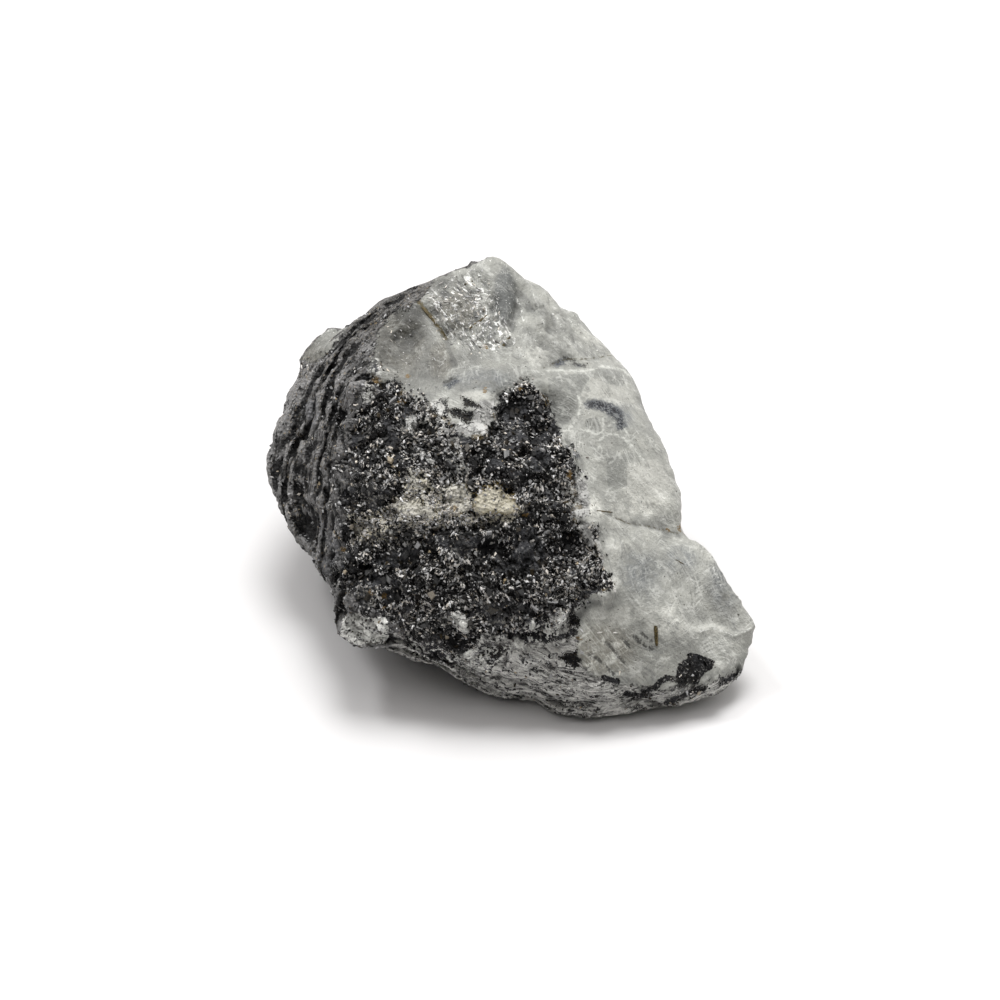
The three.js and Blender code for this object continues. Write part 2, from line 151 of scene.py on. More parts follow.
def facets(points, size, seed, tilt):
    """Heights of a surface broken into flat facets of about this size, each tilted its own way."""
    at = points / size
    corner = np.floor(at).astype(np.int64)
    nearest = np.full(len(points), np.inf)
    height = np.zeros(len(points))
    for step in np.ndindex(3, 3, 3):
        cell = corner + step - 1
        middle = cell + np.stack([hashed(cell, seed + k) for k in range(3)], axis=1)
        lean = np.stack([hashed(cell, seed + 50 + k) * 2 - 1 for k in range(3)], axis=1)
        off = at - middle
        distance = np.sum(off * off, axis=1)
        closer = distance < nearest
        here = tilt * np.sum(off * lean, axis=1) + hashed(cell, seed + 90) - 0.5
        height = np.where(closer, here, height)
        nearest = np.minimum(nearest, distance)
    return height


# ---- Shapes on the face ----
def to_stretch(a, b, at):
    """Distance from each point to the straight stretch from a to b."""
    along = b - a
    share = np.clip((at - a) @ along / (along @ along), 0, 1)
    return np.linalg.norm(a + share[:, None] * along - at, axis=1)


def inside(outline, at):
    """How far each point lies inside the outline, mm; negative outside it."""
    corners = np.array(outline, float)
    nearest = np.full(len(at), np.inf)
    odd = np.zeros(len(at), bool)
    for a, b in zip(corners, np.roll(corners, -1, axis=0)):
        nearest = np.minimum(nearest, to_stretch(a, b, at))
        if a[1] == b[1]:
            continue
        crosses = (a[1] > at[:, 1]) != (b[1] > at[:, 1])
        edge = a[0] + (at[:, 1] - a[1]) / (b[1] - a[1]) * (b[0] - a[0])
        odd ^= crosses & (at[:, 0] < edge)
    return np.where(odd, nearest, -nearest)


def off_line(line, at):
    """Distance from each point to the line through these points."""
    corners = np.array(line, float)
    nearest = np.full(len(at), np.inf)
    for a, b in zip(corners[:-1], corners[1:]):
        nearest = np.minimum(nearest, to_stretch(a, b, at))
    return nearest


def beside_line(line, at):
    """How far along the line each point lies, and how far to its left."""
    corners = np.array(line, float)
    nearest = np.full(len(at), np.inf)
    along = np.zeros(len(at))
    beside = np.zeros(len(at))
    start = 0.0
    for a, b in zip(corners[:-1], corners[1:]):
        length = np.linalg.norm(b - a)
        way = (b - a) / length
        distance = to_stretch(a, b, at)
        closer = distance < nearest
        side = np.sign(way[0] * (at - a)[:, 1] - way[1] * (at - a)[:, 0])
        along = np.where(closer, start + np.clip((at - a) @ way, 0, length), along)
        beside = np.where(closer, distance * side, beside)
        nearest = np.minimum(nearest, distance)
        start += length
    return along, beside


def off_lines(lines, at):
    return np.min([off_line(line, at) for line in lines], axis=0)


def blob(at, place):
    """1 at the middle of an oval [across, up, half width, half height], 0 from its rim out."""
    middle_across, middle_up, half_width, half_height = place
    out = np.hypot((at[:, 0] - middle_across) / half_width, (at[:, 1] - middle_up) / half_height)
    return 1 - ramp(out, 0, 1)


def blobs(at, places):
    return np.max([blob(at, place) for place in places], axis=0)


# ---- Mesh tools ----
def welded(mesh):
    """Points in mm and triangles of a mesh, with its doubled vertices made one."""
    points = np.empty(len(mesh.vertices) * 3)
    mesh.vertices.foreach_get("co", points)
    mesh.calc_loop_triangles()
    triangles = np.empty(len(mesh.loop_triangles) * 3, np.int64)
    mesh.loop_triangles.foreach_get("vertices", triangles)
    whole, alias = np.unique(np.round(points.reshape(-1, 3) / MM, 4), axis=0, return_inverse=True)
    triangles = alias.reshape(-1)[triangles].reshape(-1, 3)
    a, b, c = triangles.T
    return whole, triangles[(a != b) & (b != c) & (c != a)]


def edges_of(triangles):
    """The edges, each once, and which of them are each triangle's first, second and third."""
    ends = np.sort(triangles[:, [[0, 1], [1, 2], [2, 0]]].reshape(-1, 2), axis=1)
    edges, which = np.unique(ends, axis=0, return_inverse=True)
    return edges, which.reshape(-1, 3)


def split_long(points, triangles, longest):
    """Halves once every edge that is too long for its place."""
    edges, which = edges_of(triangles)
    middle = points[edges].mean(axis=1)
    length = np.linalg.norm(points[edges[:, 0]] - points[edges[:, 1]], axis=1)
    long = length > longest(middle)
    new = np.full(len(edges), -1)
    new[long] = len(points) + np.arange(long.sum())
    halves = new[which]
    count = (halves >= 0).sum(axis=1)
    made = [triangles[count == 0]]
    for turn in range(3):
        a, b, c = np.roll(triangles, -turn, axis=1).T
        ab, bc, ca = np.roll(halves, -turn, axis=1).T
        one = (count == 1) & (ab >= 0)
        made.append(np.stack([a, ab, c], axis=1)[one])
        made.append(np.stack([ab, b, c], axis=1)[one])
        two = (count == 2) & (ca < 0)
        made.append(np.stack([ab, b, bc], axis=1)[two])
        made.append(np.stack([a, ab, bc], axis=1)[two])
        made.append(np.stack([a, bc, c], axis=1)[two])
    a, b, c = triangles[count == 3].T
    ab, bc, ca = halves[count == 3].T
    for corners in ((a, ab, ca), (ab, b, bc), (ca, bc, c), (ab, bc, ca)):
        made.append(np.stack(corners, axis=1))
    return np.concatenate([points, middle[long]]), np.concatenate(made), int(long.sum())


def refined(points, triangles, longest):
    while True:
        points, triangles, added = split_long(points, triangles, longest)
        if not added:
            return points, triangles


def normals_of(points, triangles):
    a, b, c = points[triangles].transpose(1, 0, 2)
    facing = np.cross(b - a, c - a)
    total = np.zeros_like(points)
    for corner in triangles.T:
        for axis in range(3):
            total[:, axis] += np.bincount(corner, facing[:, axis], len(points))
    return unit(total)


def neighbour_mean(points, triangles):
    """A function that gives, for each point of this mesh, the mean of the ones it is joined to."""
    edges, _ = edges_of(triangles)
    first, second = edges.T
    count = np.bincount(first, minlength=len(points)) + np.bincount(second, minlength=len(points))

    def mean_of(places):
        total = np.zeros_like(places)
        for axis in range(3):
            total[:, axis] = np.bincount(first, places[second, axis], len(places))
            total[:, axis] += np.bincount(second, places[first, axis], len(places))
        return total / count[:, None]

    return mean_of


def relax(points, triangles, share, passes, ways=IN_AND_OUT):
    """Wears the surface: moves each point by its share of the way to its neighbours' middle."""
    mean_of = neighbour_mean(points, triangles)
    for _ in range(passes):
        for way in ways:
            points = points + (way * share)[:, None] * (mean_of(points) - points)
    return points


def height_over_surroundings(points, triangles, normals, passes):
    """How far each point stands out of the worn-down surface round it, mm."""
    mean_of = neighbour_mean(points, triangles)
    worn = points
    for _ in range(passes):
        worn = mean_of(worn)
    return np.sum((points - worn) * normals, axis=1)


def placed(name, data):
    """A new object in the scene."""
    made = bpy.data.objects.new(name, data)
    bpy.context.scene.collection.objects.link(made)
    return made


def piece_of(name, points, triangles, material, fields=(), smooth=True):
    """A Blender object from points in mm and faces, with its vertex fields."""
    mesh = bpy.data.meshes.new(name)
    corners = triangles.shape[1]
    mesh.vertices.add(len(points))
    mesh.vertices.foreach_set("co", (points * MM).astype(np.float32).ravel())
    mesh.loops.add(triangles.size)
    mesh.loops.foreach_set("vertex_index", triangles.astype(np.int32).ravel())
    mesh.polygons.add(len(triangles))
    mesh.polygons.foreach_set("loop_start", np.arange(len(triangles), dtype=np.int32) * corners)
    mesh.polygons.foreach_set("use_smooth", np.full(len(triangles), smooth))
    mesh.update(calc_edges=True)
    for field, values in dict(fields).items():
        if values.ndim == 1:
            layer = mesh.attributes.new(field, "FLOAT", "POINT")
            layer.data.foreach_set("value", values.astype(np.float32))
        else:
            layer = mesh.attributes.new(field, "FLOAT_VECTOR", "POINT")
            layer.data.foreach_set("vector", values.astype(np.float32).ravel())
    mesh.materials.append(material)
    made = placed(name, mesh)
    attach(made, "root")
    return made


# ---- What lies where on the broken face: [across, up], mm ----
CRUST_OUTLINE = [
    [-13.2, 12], [-12, 12.6], [-11.3, 11.6], [-10.3, 11.8], [-9.8, 10.7], [-8.6, 10.2], [-7.2, 10],
    [-6.4, 8.8], [-5.2, 8.2], [-4.4, 7.2], [-3.2, 6.3],
    [-1.2, 6.6], [-0.3, 10.2], [2.8, 12], [4.6, 10.3], [5.8, 7.1], [6, 6], [7.3, 4.4], [8, 2.9],
    [7.4, 1.3], [8.5, -0.5], [7.2, -1.2], [8.1, -2.3], [9.7, -3.1], [9.5, -4.7], [10.2, -6.5],
    [11.3, -8.4], [11.3, -9.1], [8.5, -10], [6.4, -11.7], [4.8, -12.6], [3.2, -12.8], [2.3, -13.8],
    [-2, -13.4], [-3, -15.2], [-5, -15.8], [-7.5, -14.8], [-9.2, -13.6], [-11.8, -11],
    [-15.5, -10.2], [-16.4, -8], [-16.2, -4], [-15.8, 0.5], [-15.2, 5.5], [-14.2, 9],
]
FELDSPAR_OUTLINE = [
    [-13.4, 12.4], [-12.6, 14.8], [-12.2, 16.4], [-11.6, 18], [-10.2, 19], [-8.4, 19.4], [-7.5, 20.5],
    [-6.8, 22], [-5.5, 24], [0, 27], [12, 18], [22, 0],
    [28, -14], [24.4, -16.8], [21, -18.3], [16, -19], [12, -18.4], [9.5, -17.6], [7.8, -16.4],
    [7.6, -13], [5, -11], [7, -5], [7, 0], [5, 4], [3, 8], [0, 8], [-2, 5.5], [-5, 6.4], [-8, 7.8],
    [-11, 9.6],
]
EAR = [
    [-20.6, 14], [-20.4, 15.5], [-18.8, 17.2], [-17, 18], [-15.2, 17.4], [-16.6, 15.4],
    [-17.8, 14.1], [-19.2, 13.9],
]
BAND = [  # streaked rock along the keel
    [-10.5, -13.4], [-5, -15.8], [-2.5, -13], [1, -13.4], [4.8, -12.4], [7.4, -11.5], [8, -16],
    [12, -18], [16, -18.6], [20, -18.1], [24, -16], [27, -18], [24, -24], [0, -30], [-12, -20],
]
# The layers of the schist run down the left flank and on along the keel, in line with this.
LAYER_GUIDE = [
    [-7.5, 22], [-11, 19.8], [-14, 17.4], [-16.2, 14.5], [-17.6, 11], [-18.8, 7], [-19.4, 3],
    [-19, -1], [-17.5, -5.5], [-14.5, -9.5], [-11, -13], [-5, -16.8], [0, -18.8], [5, -20.2],
    [10, -21], [16, -20.6], [23, -17.5],
]
FLANK_LINES = [  # where the layers stand open: carved grooves, painted black as shade in the gaps
    [[-8, 21.8], [-11.2, 19.6], [-13.3, 18.3], [-14.9, 16.7], [-16, 14.8], [-17.2, 12.6]],
    [[-17.5, 13.8], [-19.6, 9.9], [-20.6, 8.4], [-20.6, 6], [-20.4, 1.1], [-19, -1]],
    [[-17.2, 11.5], [-17.7, 9.2], [-17.3, 6.3], [-17.5, 4.4], [-16.4, 1.9], [-15.2, -2]],
    [[-15.4, 14.1], [-16.7, 12.5], [-17, 10], [-16, 7.6], [-15.4, 4.4]],
    [[-17.5, 1], [-16.3, -1.5], [-14.8, -4], [-14.8, -5.6]],
    [[-22, 4], [-21.6, 0.8], [-20.4, -2.2], [-18.5, -5.2]],
]
FLANK_LINE_DEPTH = 0.35
FLANK_LINE_WIDTH = 0.35
SATIN = [  # smooth grey patches low on the flank
    [[-18.9, -1.2], [-17, -2.6], [-16, -4.8], [-16.4, -6.1], [-17.5, -4], [-19, -2.2]],
    [[-18.3, -5.8], [-16.5, -5.6], [-16.6, -7.7], [-17.6, -7.9]],
    [[-19.6, 9.6], [-18.4, 10.4], [-18, 8.4], [-19, 7]],
]
# Where the feldspar broke along its cleavage, in small steps with painted glints and painted shade.
SPARKLY = [
    [-7.2, 20.6], [-4.5, 22.4], [-1.6, 22.8], [-0.3, 20], [0.8, 16.5], [1.8, 15.2], [-2, 14.8],
    [-5, 15.6], [-6.8, 18],
]
DARK_LOBE = [0.5, 20.4, 1.7, 4.2]
LOBE_RIDGES = [
    [[1.8, 21.8], [3, 20.9], [3.7, 19.4], [4.8, 18]],
    [[2.2, 19.6], [2.9, 17.9], [3.6, 16]],
    [[5.5, 18.8], [6, 17.6], [6.9, 16.4]],
    [[4, 17], [5.2, 15.6], [6.8, 14.6]],
    [[3.2, 18.4], [4.2, 16.6]],
    [[7, 19], [7.8, 17.4], [9, 16]],
    [[-1, 22.6], [-0.4, 20.4]],
]
LOBE_GROOVES = [
    [[1.6, 22.6], [1.9, 19.6], [1, 17]],
    [[-8.2, 20.2], [-6.8, 18.2], [-5.4, 16.4], [-4.6, 13.6]],
]
HIGHLIGHTED_RIDGES = [  # raised arrises of the feldspar, with a painted highlight along them
    [[5.4, 19.2], [5.9, 17.8], [6.7, 16.6]],
    [[1.6, 20.2], [2.2, 19], [2.4, 17.6]],
    [[-0.2, 18.6], [0.8, 17], [1.2, 16.2]],
    [[3.2, 20.8], [3.9, 19], [4.4, 17.6]],
    [[19.8, -13.2], [21.3, -12.8], [23.5, -13.6], [25.4, -12.7]],
    [[22, -4.6], [23, -7.6], [24, -10]],
    [[21.2, -6.4], [22.4, -9.4]],
]
STROKES = [  # short dark breaks low on the block and by the crease
    [[8.9, -15.3], [10.2, -16.2], [11.4, -17.5]],
    [[13.4, -13.7], [14.4, -14.5], [15.4, -15]],
    [[12.2, -13.9], [12.9, -14.6]],
    [[14, -13.1], [15.1, -14.1]],
    [[10.6, -14.2], [11.8, -15.6], [12.6, -16.4]],
    [[5.4, 13.6], [6.4, 14.2], [7.4, 13.9]],
    [[7.4, 13.6], [8.6, 13.4]],
    [[-5.6, 11.7], [-4.6, 12.2]],
]
# Cells of the right face, as its cleavage pieces lie at different depths.
DARK_CELLS = [
    [[4.8, 12.2], [6.4, 12.3], [7.8, 10.6], [7.8, 9], [6.7, 7.4], [5, 8.8]],
    [[6.2, 12.6], [9, 12.6], [8.8, 10.9], [7.9, 10.5], [6.6, 12]],
    [[9.5, 13.2], [11.6, 13], [12.6, 12.2], [12.3, 11.3], [11.1, 11.6], [9.5, 12.5]],
    [[8.5, 8.1], [9.9, 8.3], [10.2, 6.9], [9.5, 6.6], [8.5, 7.4]],
    [[10.6, 4.2], [13.4, 4.8], [13.2, 1.6], [10.8, 0.8]],
]
LIGHT_CELLS = [
    [[9, 12.3], [10.9, 11.6], [12.7, 10.9], [13.6, 9.7], [11.6, 9.4], [9.5, 10.1], [7.9, 10.4]],
    [[12.7, 3.6], [15.8, 4.2], [17.4, 1], [15.4, -1], [12.7, 0.6]],
]
VEINS = [
    [[4.8, 12.9], [6.2, 13], [8.8, 12.9], [10.2, 13.4], [12.3, 13], [14, 11.8]],
    [[7.8, 10.4], [8.1, 9.7], [7.8, 8.3], [6.7, 6.9], [6, 6.4]],
    [[6.7, 6.9], [8.1, 7.1], [9.5, 6.6], [10.2, 6.7], [10.4, 7.4], [10.2, 8.3]],
    [[9.9, 6], [10.9, 6.6], [12, 6.4], [13, 5.7], [14.4, 3.9]],
    [[10.9, 7.4], [11.6, 7.9], [12.4, 7.3], [12.8, 6.4]],
    [[19, -12.9], [20.9, -12.4], [23.2, -13.7], [25, -12.8]],
]
CREASE = [[4.4, 13.2], [6.5, 14.1], [8.8, 14.1], [11.3, 14.5]]
INCLUSIONS = [  # dark mica seen through the feldspar
    [[8.2, 9.8], [9.5, 10.2], [11.3, 9.8], [12.4, 8.8], [12.7, 7.2], [11.8, 6.8], [11.4, 8],
     [10.2, 8.8], [8.6, 9.1]],
    [[5.2, 13.5], [5.9, 14.1], [6.8, 14.2], [6.6, 13.6], [5.8, 13.2]],
    [[7.2, 13.5], [8, 13.7], [8.2, 13.2]],
    [[-5.8, 11.4], [-4.2, 12.4], [-3.8, 12], [-5, 11]],
    [[7.1, 5.1], [8.1, 4.5], [8.1, 3.9], [7.4, 4.2]],
]
DARK_CLUSTER = [
    [17.9, -16.3], [18.6, -15.9], [19, -15.2], [19.8, -15.4], [21.5, -16.1], [21.3, -16.8],
    [20.4, -17.4], [19.7, -18.6], [18.8, -18.3], [17.9, -18.7], [17.5, -17.6],
]
CLUSTER_STREAKS = [
    [[18, -18], [16.6, -17.8], [15.6, -18.6], [14.6, -19.2]],
    [[12.6, -19.3], [13.8, -19.6], [15, -19.5]],
    [[16.7, -20.3], [17.6, -19.9], [18.7, -19.4], [20.4, -18.9]],
    [[10.4, -17.8], [11.8, -18.1]],
    [[22.2, -18.3], [23.5, -17.6]],
]
MILKY = [  # [across, up, half width, half height]
    [16.6, -12.2, 3.4, 3],
    [11.2, -6.5, 1.3, 5.5],
    [14.4, -0.6, 4.6, 1.6],
    [21.5, -12.8, 3.4, 1.1],
    [15, 2.6, 3.4, 2.6],
    [9.2, -1, 1.6, 2.2],
    [12.4, -11.5, 4, 1.6],
    [9, 16.6, 2.6, 2.2],
    [3.6, 14.6, 2, 1.6],
    [-2.4, 10.4, 2.8, 0.9],
]
BLUISH = [
    [14, -7.2, 3.6, 3.4],
    [22.4, -8.6, 2.4, 4.4],
    [-1.5, 12, 5, 2],
    [12, 8.4, 2.4, 2],
    [18, -6, 2.6, 2.2],
]
GREYISH = [
    [-10, 15.8, 4, 5.2],
    [-6, 14, 2, 3],
    [10.5, -15, 5, 4.4],
    [-4, 19, 3.4, 3.4],
    [-19, 13.8, 2.6, 3],
]
WHITE_PATCHES = [
    [[-2.8, 9.6], [-1.6, 10], [-0.4, 9.8], [-0.3, 8.4], [-0.9, 7.6], [-1.2, 6.6], [-2.8, 6.4],
     [-4.2, 6.6], [-4.8, 7.2], [-4, 7.8], [-3, 7.4], [-2.6, 8.4]],
    [[-15.6, -11.9], [-14.6, -11.2], [-13, -11.9], [-11.6, -11.6], [-11, -13], [-11.6, -14.4],
     [-14.4, -14.6], [-16, -13.6]],
    [[-5.2, -11.6], [-4.2, -10.9], [-3.4, -11.8], [-2.8, -13.4], [-3.6, -13.5], [-4.6, -12.6]],
    [[-3.8, -15.4], [-2.6, -14.8], [-1.6, -15.6], [-1.1, -16.8], [-1.8, -17.5], [-3, -16.7]],
    [[1.4, -13.7], [2.5, -14], [2.4, -15], [1.4, -14.8]],
    [[5.4, -12.4], [6.9, -11.6], [7, -13.2], [6, -13.6]],
    [[7.6, 2.4], [8.6, 2], [9, 0], [8.9, -1.8], [7.6, -2], [7.4, 0]],
    [[-9.5, 8.2], [-8.6, 8.6], [-8.2, 7.5], [-8.9, 6.4], [-9.5, 7]],
    [[-7.6, 9.2], [-6.6, 9.8], [-5.6, 8.8], [-6.2, 7.9], [-7.2, 8.2]],
    [[-11.1, -2.9], [-10.6, -2.9], [-10.5, -3.5], [-11.1, -3.5]],
    [[7.4, -2.5], [8.8, -2.3], [9.7, -4.2], [9.1, -4.8], [8.2, -3.9]],
    [[4.9, -11.6], [6.6, -11.1], [6.8, -12], [5.6, -12.6]],
]
MOTTLED = [  # white and black grains side by side
    [[-7.8, 9.4], [-5.6, 10.4], [-5, 9.2], [-5.2, 7.4], [-6, 6.8], [-7.8, 7.4]],
    [[-6.4, 6.8], [-4.4, 6.8], [-3.2, 2.4], [-4.6, 2.2]],
    [[6.4, 3], [7.6, 2.6], [8.2, -0.6], [7.4, -2.4], [6.2, 0.6]],
    [[8.4, -2.4], [9.8, -2.6], [10.2, -6], [9, -6.6], [8.2, -4.6]],
    [[-13.4, 12.4], [-12.4, 14.4], [-11.8, 12.2], [-12.6, 10.2], [-13.6, 9.8]],
    [[3, -12.2], [7.4, -10.6], [7.8, -13.8], [2.6, -14.6], [-2, -14.2], [-3.2, -17.2], [-0.6, -17]],
    [[-9.8, -14], [-6.6, -14.6], [-4, -15.6], [-3.2, -16.8], [-5.6, -16.8], [-8.8, -15.6]],
]
DARK_BITS = [
    [[-3.7, 10.3], [-2.9, 10], [-1.9, 9.3], [-2.9, 9.2], [-3.6, 9.5]],
    [[-5.1, 8.9], [-4.3, 9.2], [-3.6, 8.8], [-2.8, 8.9], [-2.7, 8], [-3.4, 7.6], [-4, 8.2],
     [-4.7, 8.3]],
    [[-7.3, 9.1], [-6.5, 9.3], [-6.1, 8.3], [-6.6, 7.6], [-7.1, 8]],
    [[-5.9, 10], [-5.2, 9.9], [-5.4, 9.3]],
    [[5.7, -15.7], [6.7, -15.4], [7.6, -15], [7.6, -15.7], [8.1, -16], [7.9, -16.9], [7.1, -16.7],
     [6.4, -16.1]],
    [[6.7, -11.5], [7.3, -11.1], [7.6, -11.7], [8, -11.9], [7.9, -12.8], [7.4, -12.4],
     [6.9, -12.6], [7, -12]],
]
WHITE_STREAKS = [
    [[-6.7, 9.1], [-5.3, 6.7], [-4, 4.6], [-3.3, 2.9]],
    [[-7.8, 4.6], [-6.9, 3.8]],
]
CREAM = [
    [-2.7, -1.4], [-2.6, 0.1], [-1.8, 1], [-0.6, 1.4], [0.5, 0.9], [1.3, 0.1], [2.1, -0.8], [0.8, -1.5],
]
CREAM_RIM = [[-2.6, 0.5], [-1.8, 1.3], [-0.5, 1.7], [0.7, 1.1], [1.5, 0.2]]
BEIGE = [  # where weathered pale grains lie among the mica
    [[-9.3, 2.6], [-8.2, 2.4], [-6.6, 0.6], [-5, 1.8], [-3.2, 1.8], [-2.7, 0.2], [2.2, -1], [1.4, -1.8],
     [-1, -2.4], [-4, -2.8], [-7, -2.8], [-10.9, -2.6], [-13, -2.2], [-11.6, -0.6], [-10, 0.4]],
    [[-14.8, -1.4], [-10.9, -1.6], [-10.8, -4], [-14.4, -4.2]],
]
PALE_FLAKES = [  # smooth pieces of weathered feldspar in the beige ground
    [[-5.6, 1.3], [-4.4, 1.7], [-3.5, 1.2], [-3, 0.2], [-2.8, -1.1], [-4.4, -1.2], [-5.4, -0.2]],
    [[-11.4, -0.2], [-9, -0.1], [-6.8, -0.9], [-6.2, -1.7], [-9, -1.6], [-11, -0.9]],
    [[-9.2, 3.4], [-8.6, 2.6], [-7.2, 0.2], [-6.6, -0.6], [-7.4, -0.5], [-8.8, 1.6]],
]
TONES_AND_PAINTED_LIGHT = [  # [[across, up, half width, half height], how bright the feldspar is there]: partly its own tone, partly painted light and painted shade
    [[-9.6, 14.6, 5.2, 6.6], 0.62],
    [[-9.1, 18.8, 2.6, 1.8], 0.4],
    [[-9.5, 17.6, 4, 3.4], 0.82],
    [[-12, 15.4, 1.8, 2.6], 0.66],
    [[-5.6, 22, 2.6, 1.4], 0.7],
    [[-6.4, 21.4, 2, 1.8], 0.66],
    [[-3, 12.6, 7, 3.4], 0.78],
    [[13, -0.4, 7.5, 2.8], 1.4],
    [[8.6, 3.4, 2.2, 3.4], 1.25],
    [[9.8, -15, 4.6, 4.4], 1.4],
    [[0.4, 20.4, 2.4, 4.6], 0.72],
    [[-4, 18.6, 4, 4], 0.84],
    [[6.2, 10.2, 2.2, 2.6], 0.84],
    [[22.6, -9, 3.2, 5], 0.72],
    [[15, -7, 6, 4.5], 0.9],
    [[22.5, -15.4, 3.4, 2.6], 1.35],
    [[17.4, -12.2, 4, 2.6], 1.12],
    [[11, 10.8, 4, 2], 1.08],
    [[-18.8, 14.6, 3.4, 3], 0.62],
    [[20.5, -11.8, 3.4, 2], 0.84],
    [[5.4, 14.6, 3, 2.4], 0.86],
    [[1.6, 14.6, 2.4, 2.4], 0.9],
    [[4.6, 17.6, 3, 3], 0.9],
]
GRITTY = [  # where the crust holds more pale grit
    [8.6, -3.9, 1.9, 2.6],
    [8.8, -7, 2.2, 3],
    [6.2, -9, 4.4, 2.8],
    [3, -12.2, 6, 1.8],
    [-9.4, -12.6, 4.2, 2.4],
    [-3.6, -11.4, 4.6, 2.4],
    [-13.4, -9.8, 2.4, 1.6],
    [-4.2, -6.6, 2.6, 3.4],
    [-9, -3.6, 4.6, 1.4],
    [-12.6, 1, 2.8, 3.2],
    [-6.6, 2, 5, 2.4],
    [-8.4, 6.6, 3, 2.2],
    [6, 1.8, 1.6, 3],
]
BEIGE_LINES = [
    [[-8.7, 2.9], [-7.6, 1], [-6.2, -0.6]],
    [[-7.9, 2.6], [-6.8, 0.6], [-5.4, -0.9]],
    [[-10.6, -2.2], [-8, -1.6], [-5.5, -1.5], [-2, -1.8]],
    [[-3, -1.7], [-1, -2], [1, -1.8]],
]
RUST = [
    [-9.2, 12.4, 0.5, 0.4],
    [7.9, -13.8, 0.7, 0.5],
    [-1.5, 11, 0.4, 0.6],
    [18.2, -2.8, 0.9, 0.7],
    [-15.7, -4.9, 0.5, 0.5],
    [6.9, 2.5, 0.7, 1],
    [-1.4, 15.3, 0.5, 0.4],
    [2.6, -1.5, 0.8, 0.4],
    [-9.8, 9.9, 0.8, 0.5],
    [-12.4, 12, 0.7, 0.7],
    [2, 11.2, 0.8, 0.4],
    [-11.4, -10.8, 0.9, 0.4],
    [-11.6, -9.6, 0.6, 0.7],
    [-12.9, -9.2, 0.5, 0.6],
    [-4.6, -0.8, 0.7, 0.5],
    [16.8, -3, 0.5, 0.35],
]
STAIN_LINE = [[-8.5, 20.2], [-6.6, 18], [-5.4, 16.2]]
BARE = [  # smooth dark planes and black hollows in the crust, with little grain on them
    [2.8, -5, 2.6, 3.6],
    [1.5, 8.8, 2.5, 2.3],
    [6.8, -4.4, 1.3, 1.8],
    [-4.4, -14.3, 1.6, 1.2],
    [-10.8, -5.9, 2.9, 1.4],
    [-12.3, -8, 2.2, 0.9],
    [-2.6, -4.2, 1.6, 1.2],
    [-2.8, 7.9, 1.1, 0.6],
    [7, -14.8, 0.9, 0.9],
    [1.2, 6, 2.4, 1.9],
    [-9, -5.3, 1.6, 1.3],
    [-11.2, -9.5, 1.4, 0.9],
    [-3.6, -4.8, 1.3, 1.1],
    [-7.2, 1.6, 1.1, 1.8],
    [3.8, 4, 1.9, 1.9],
    [-11, 7.6, 1.1, 1],
]
HOLLOWS = [  # [[across, up, half width, half height], depth]
    [[6.8, -4.4, 1.5, 2], 0.7],
    [[-0.8, -4.8, 2.4, 1.7], 0.5],
    [[-4.6, -14.2, 1.9, 1.4], 0.4],
    [[-10.8, -6, 3, 1.5], 0.4],
    [[-12.3, -8, 2.4, 1.1], 0.5],
    [[1.4, 9.4, 2.4, 2], 0.5],
    [[-18.8, -3.4, 1.6, 2.6], 0.4],
    [[4.4, 5.6, 1.6, 1.6], 0.4],
    [[-8.6, 5.4, 1.6, 1.6], 0.35],
    [[-3, 8.6, 1, 0.8], 0.4],
]
CRUST_STEPS = [
    [[-10.4, -2.9], [-6, -3.2], [-3.5, -3], [-1, -2.2], [2, -1.6], [5, -2.2]],
    [[-13.6, -6.6], [-11, -7.2], [-8.4, -6.8]],
    [[-0.8, 6.4], [-0.2, 8.4], [0, 10.2]],
    [[-0.2, -3], [0.4, -5.6], [1.6, -8]],
]
FILLED = [  # where the skin is worn until it fills a crease that is too deep in the solid
    [[10, -0.8], [12.7, -2], [14.8, -2.3], [16.7, -2.8], [18.6, -3.2]],
    [[9.8, 2], [9.9, -1]],
]
CRACK = [[10.8, -1.4], [12.7, -2.3], [14.8, -2.6], [16.7, -3.1], [19.2, -3.6]]
NEEDLES = [  # [from, to, width], slender brown crystals in the feldspar
    [[9.7, -1.2], [11.3, -1.2], 0.16],
    [[17.6, -6], [18.4, -6.4], 0.14],
    [[15.52, -12.5], [15.73, -14.4], 0.46],
    [[-3, 17.2], [-1.3, 18.5], 0.3],
    [[0.4, 15.4], [1, 16.4], 0.34],
    [[-8.1, 19.7], [-6.6, 18], 0.4],
    [[-6.6, 18], [-5.5, 16.4], 0.36],
    [[-3.4, 21.6], [-2.6, 21.9], 0.3],
]
FAR_OFF = 2  # what a field says away from the front, mm outside its outlines or off its lines
OUTLINED = {  # fields that say how far inside these outlines a point lies
    "dark_cell": DARK_CELLS,
    "light_cell": LIGHT_CELLS,
    "inclusion": INCLUSIONS,
    "mottled": MOTTLED,
    "dark_bits": DARK_BITS,
    "cream": [CREAM],
    "pale_flake": PALE_FLAKES,
}
STREAKED = {  # and the same with lines: [outlines, lines, half the lines' width]
    "cluster": [[DARK_CLUSTER], CLUSTER_STREAKS, 0.28],
    "white": [WHITE_PATCHES, WHITE_STREAKS, 0.25],
    "beige": [BEIGE, BEIGE_LINES, 0.4],
}
LINED = {  # how far off these lines
    "vein": VEINS,
    "crack": [CRACK, CREASE],
    "cream_rim": [CREAM_RIM],
    "painted_ridge_highlight": HIGHLIGHTED_RIDGES,
    "stroke": STROKES,
    "stain": [STAIN_LINE],
}
OVALS = {  # and how near the middle of these ovals, where the field is 1
    "milky": MILKY,
    "bluish": BLUISH,
    "greyish": GREYISH,
    "rust": RUST,
    "gritty": GRITTY,
    "lobe": [DARK_LOBE],
}
LAYER_SIZE = (2.6, 0.6, 3)  # how far along, across and into the schist its layers change
LAYER_DIP = 0.6  # how far the layers shift across for each mm out of the face
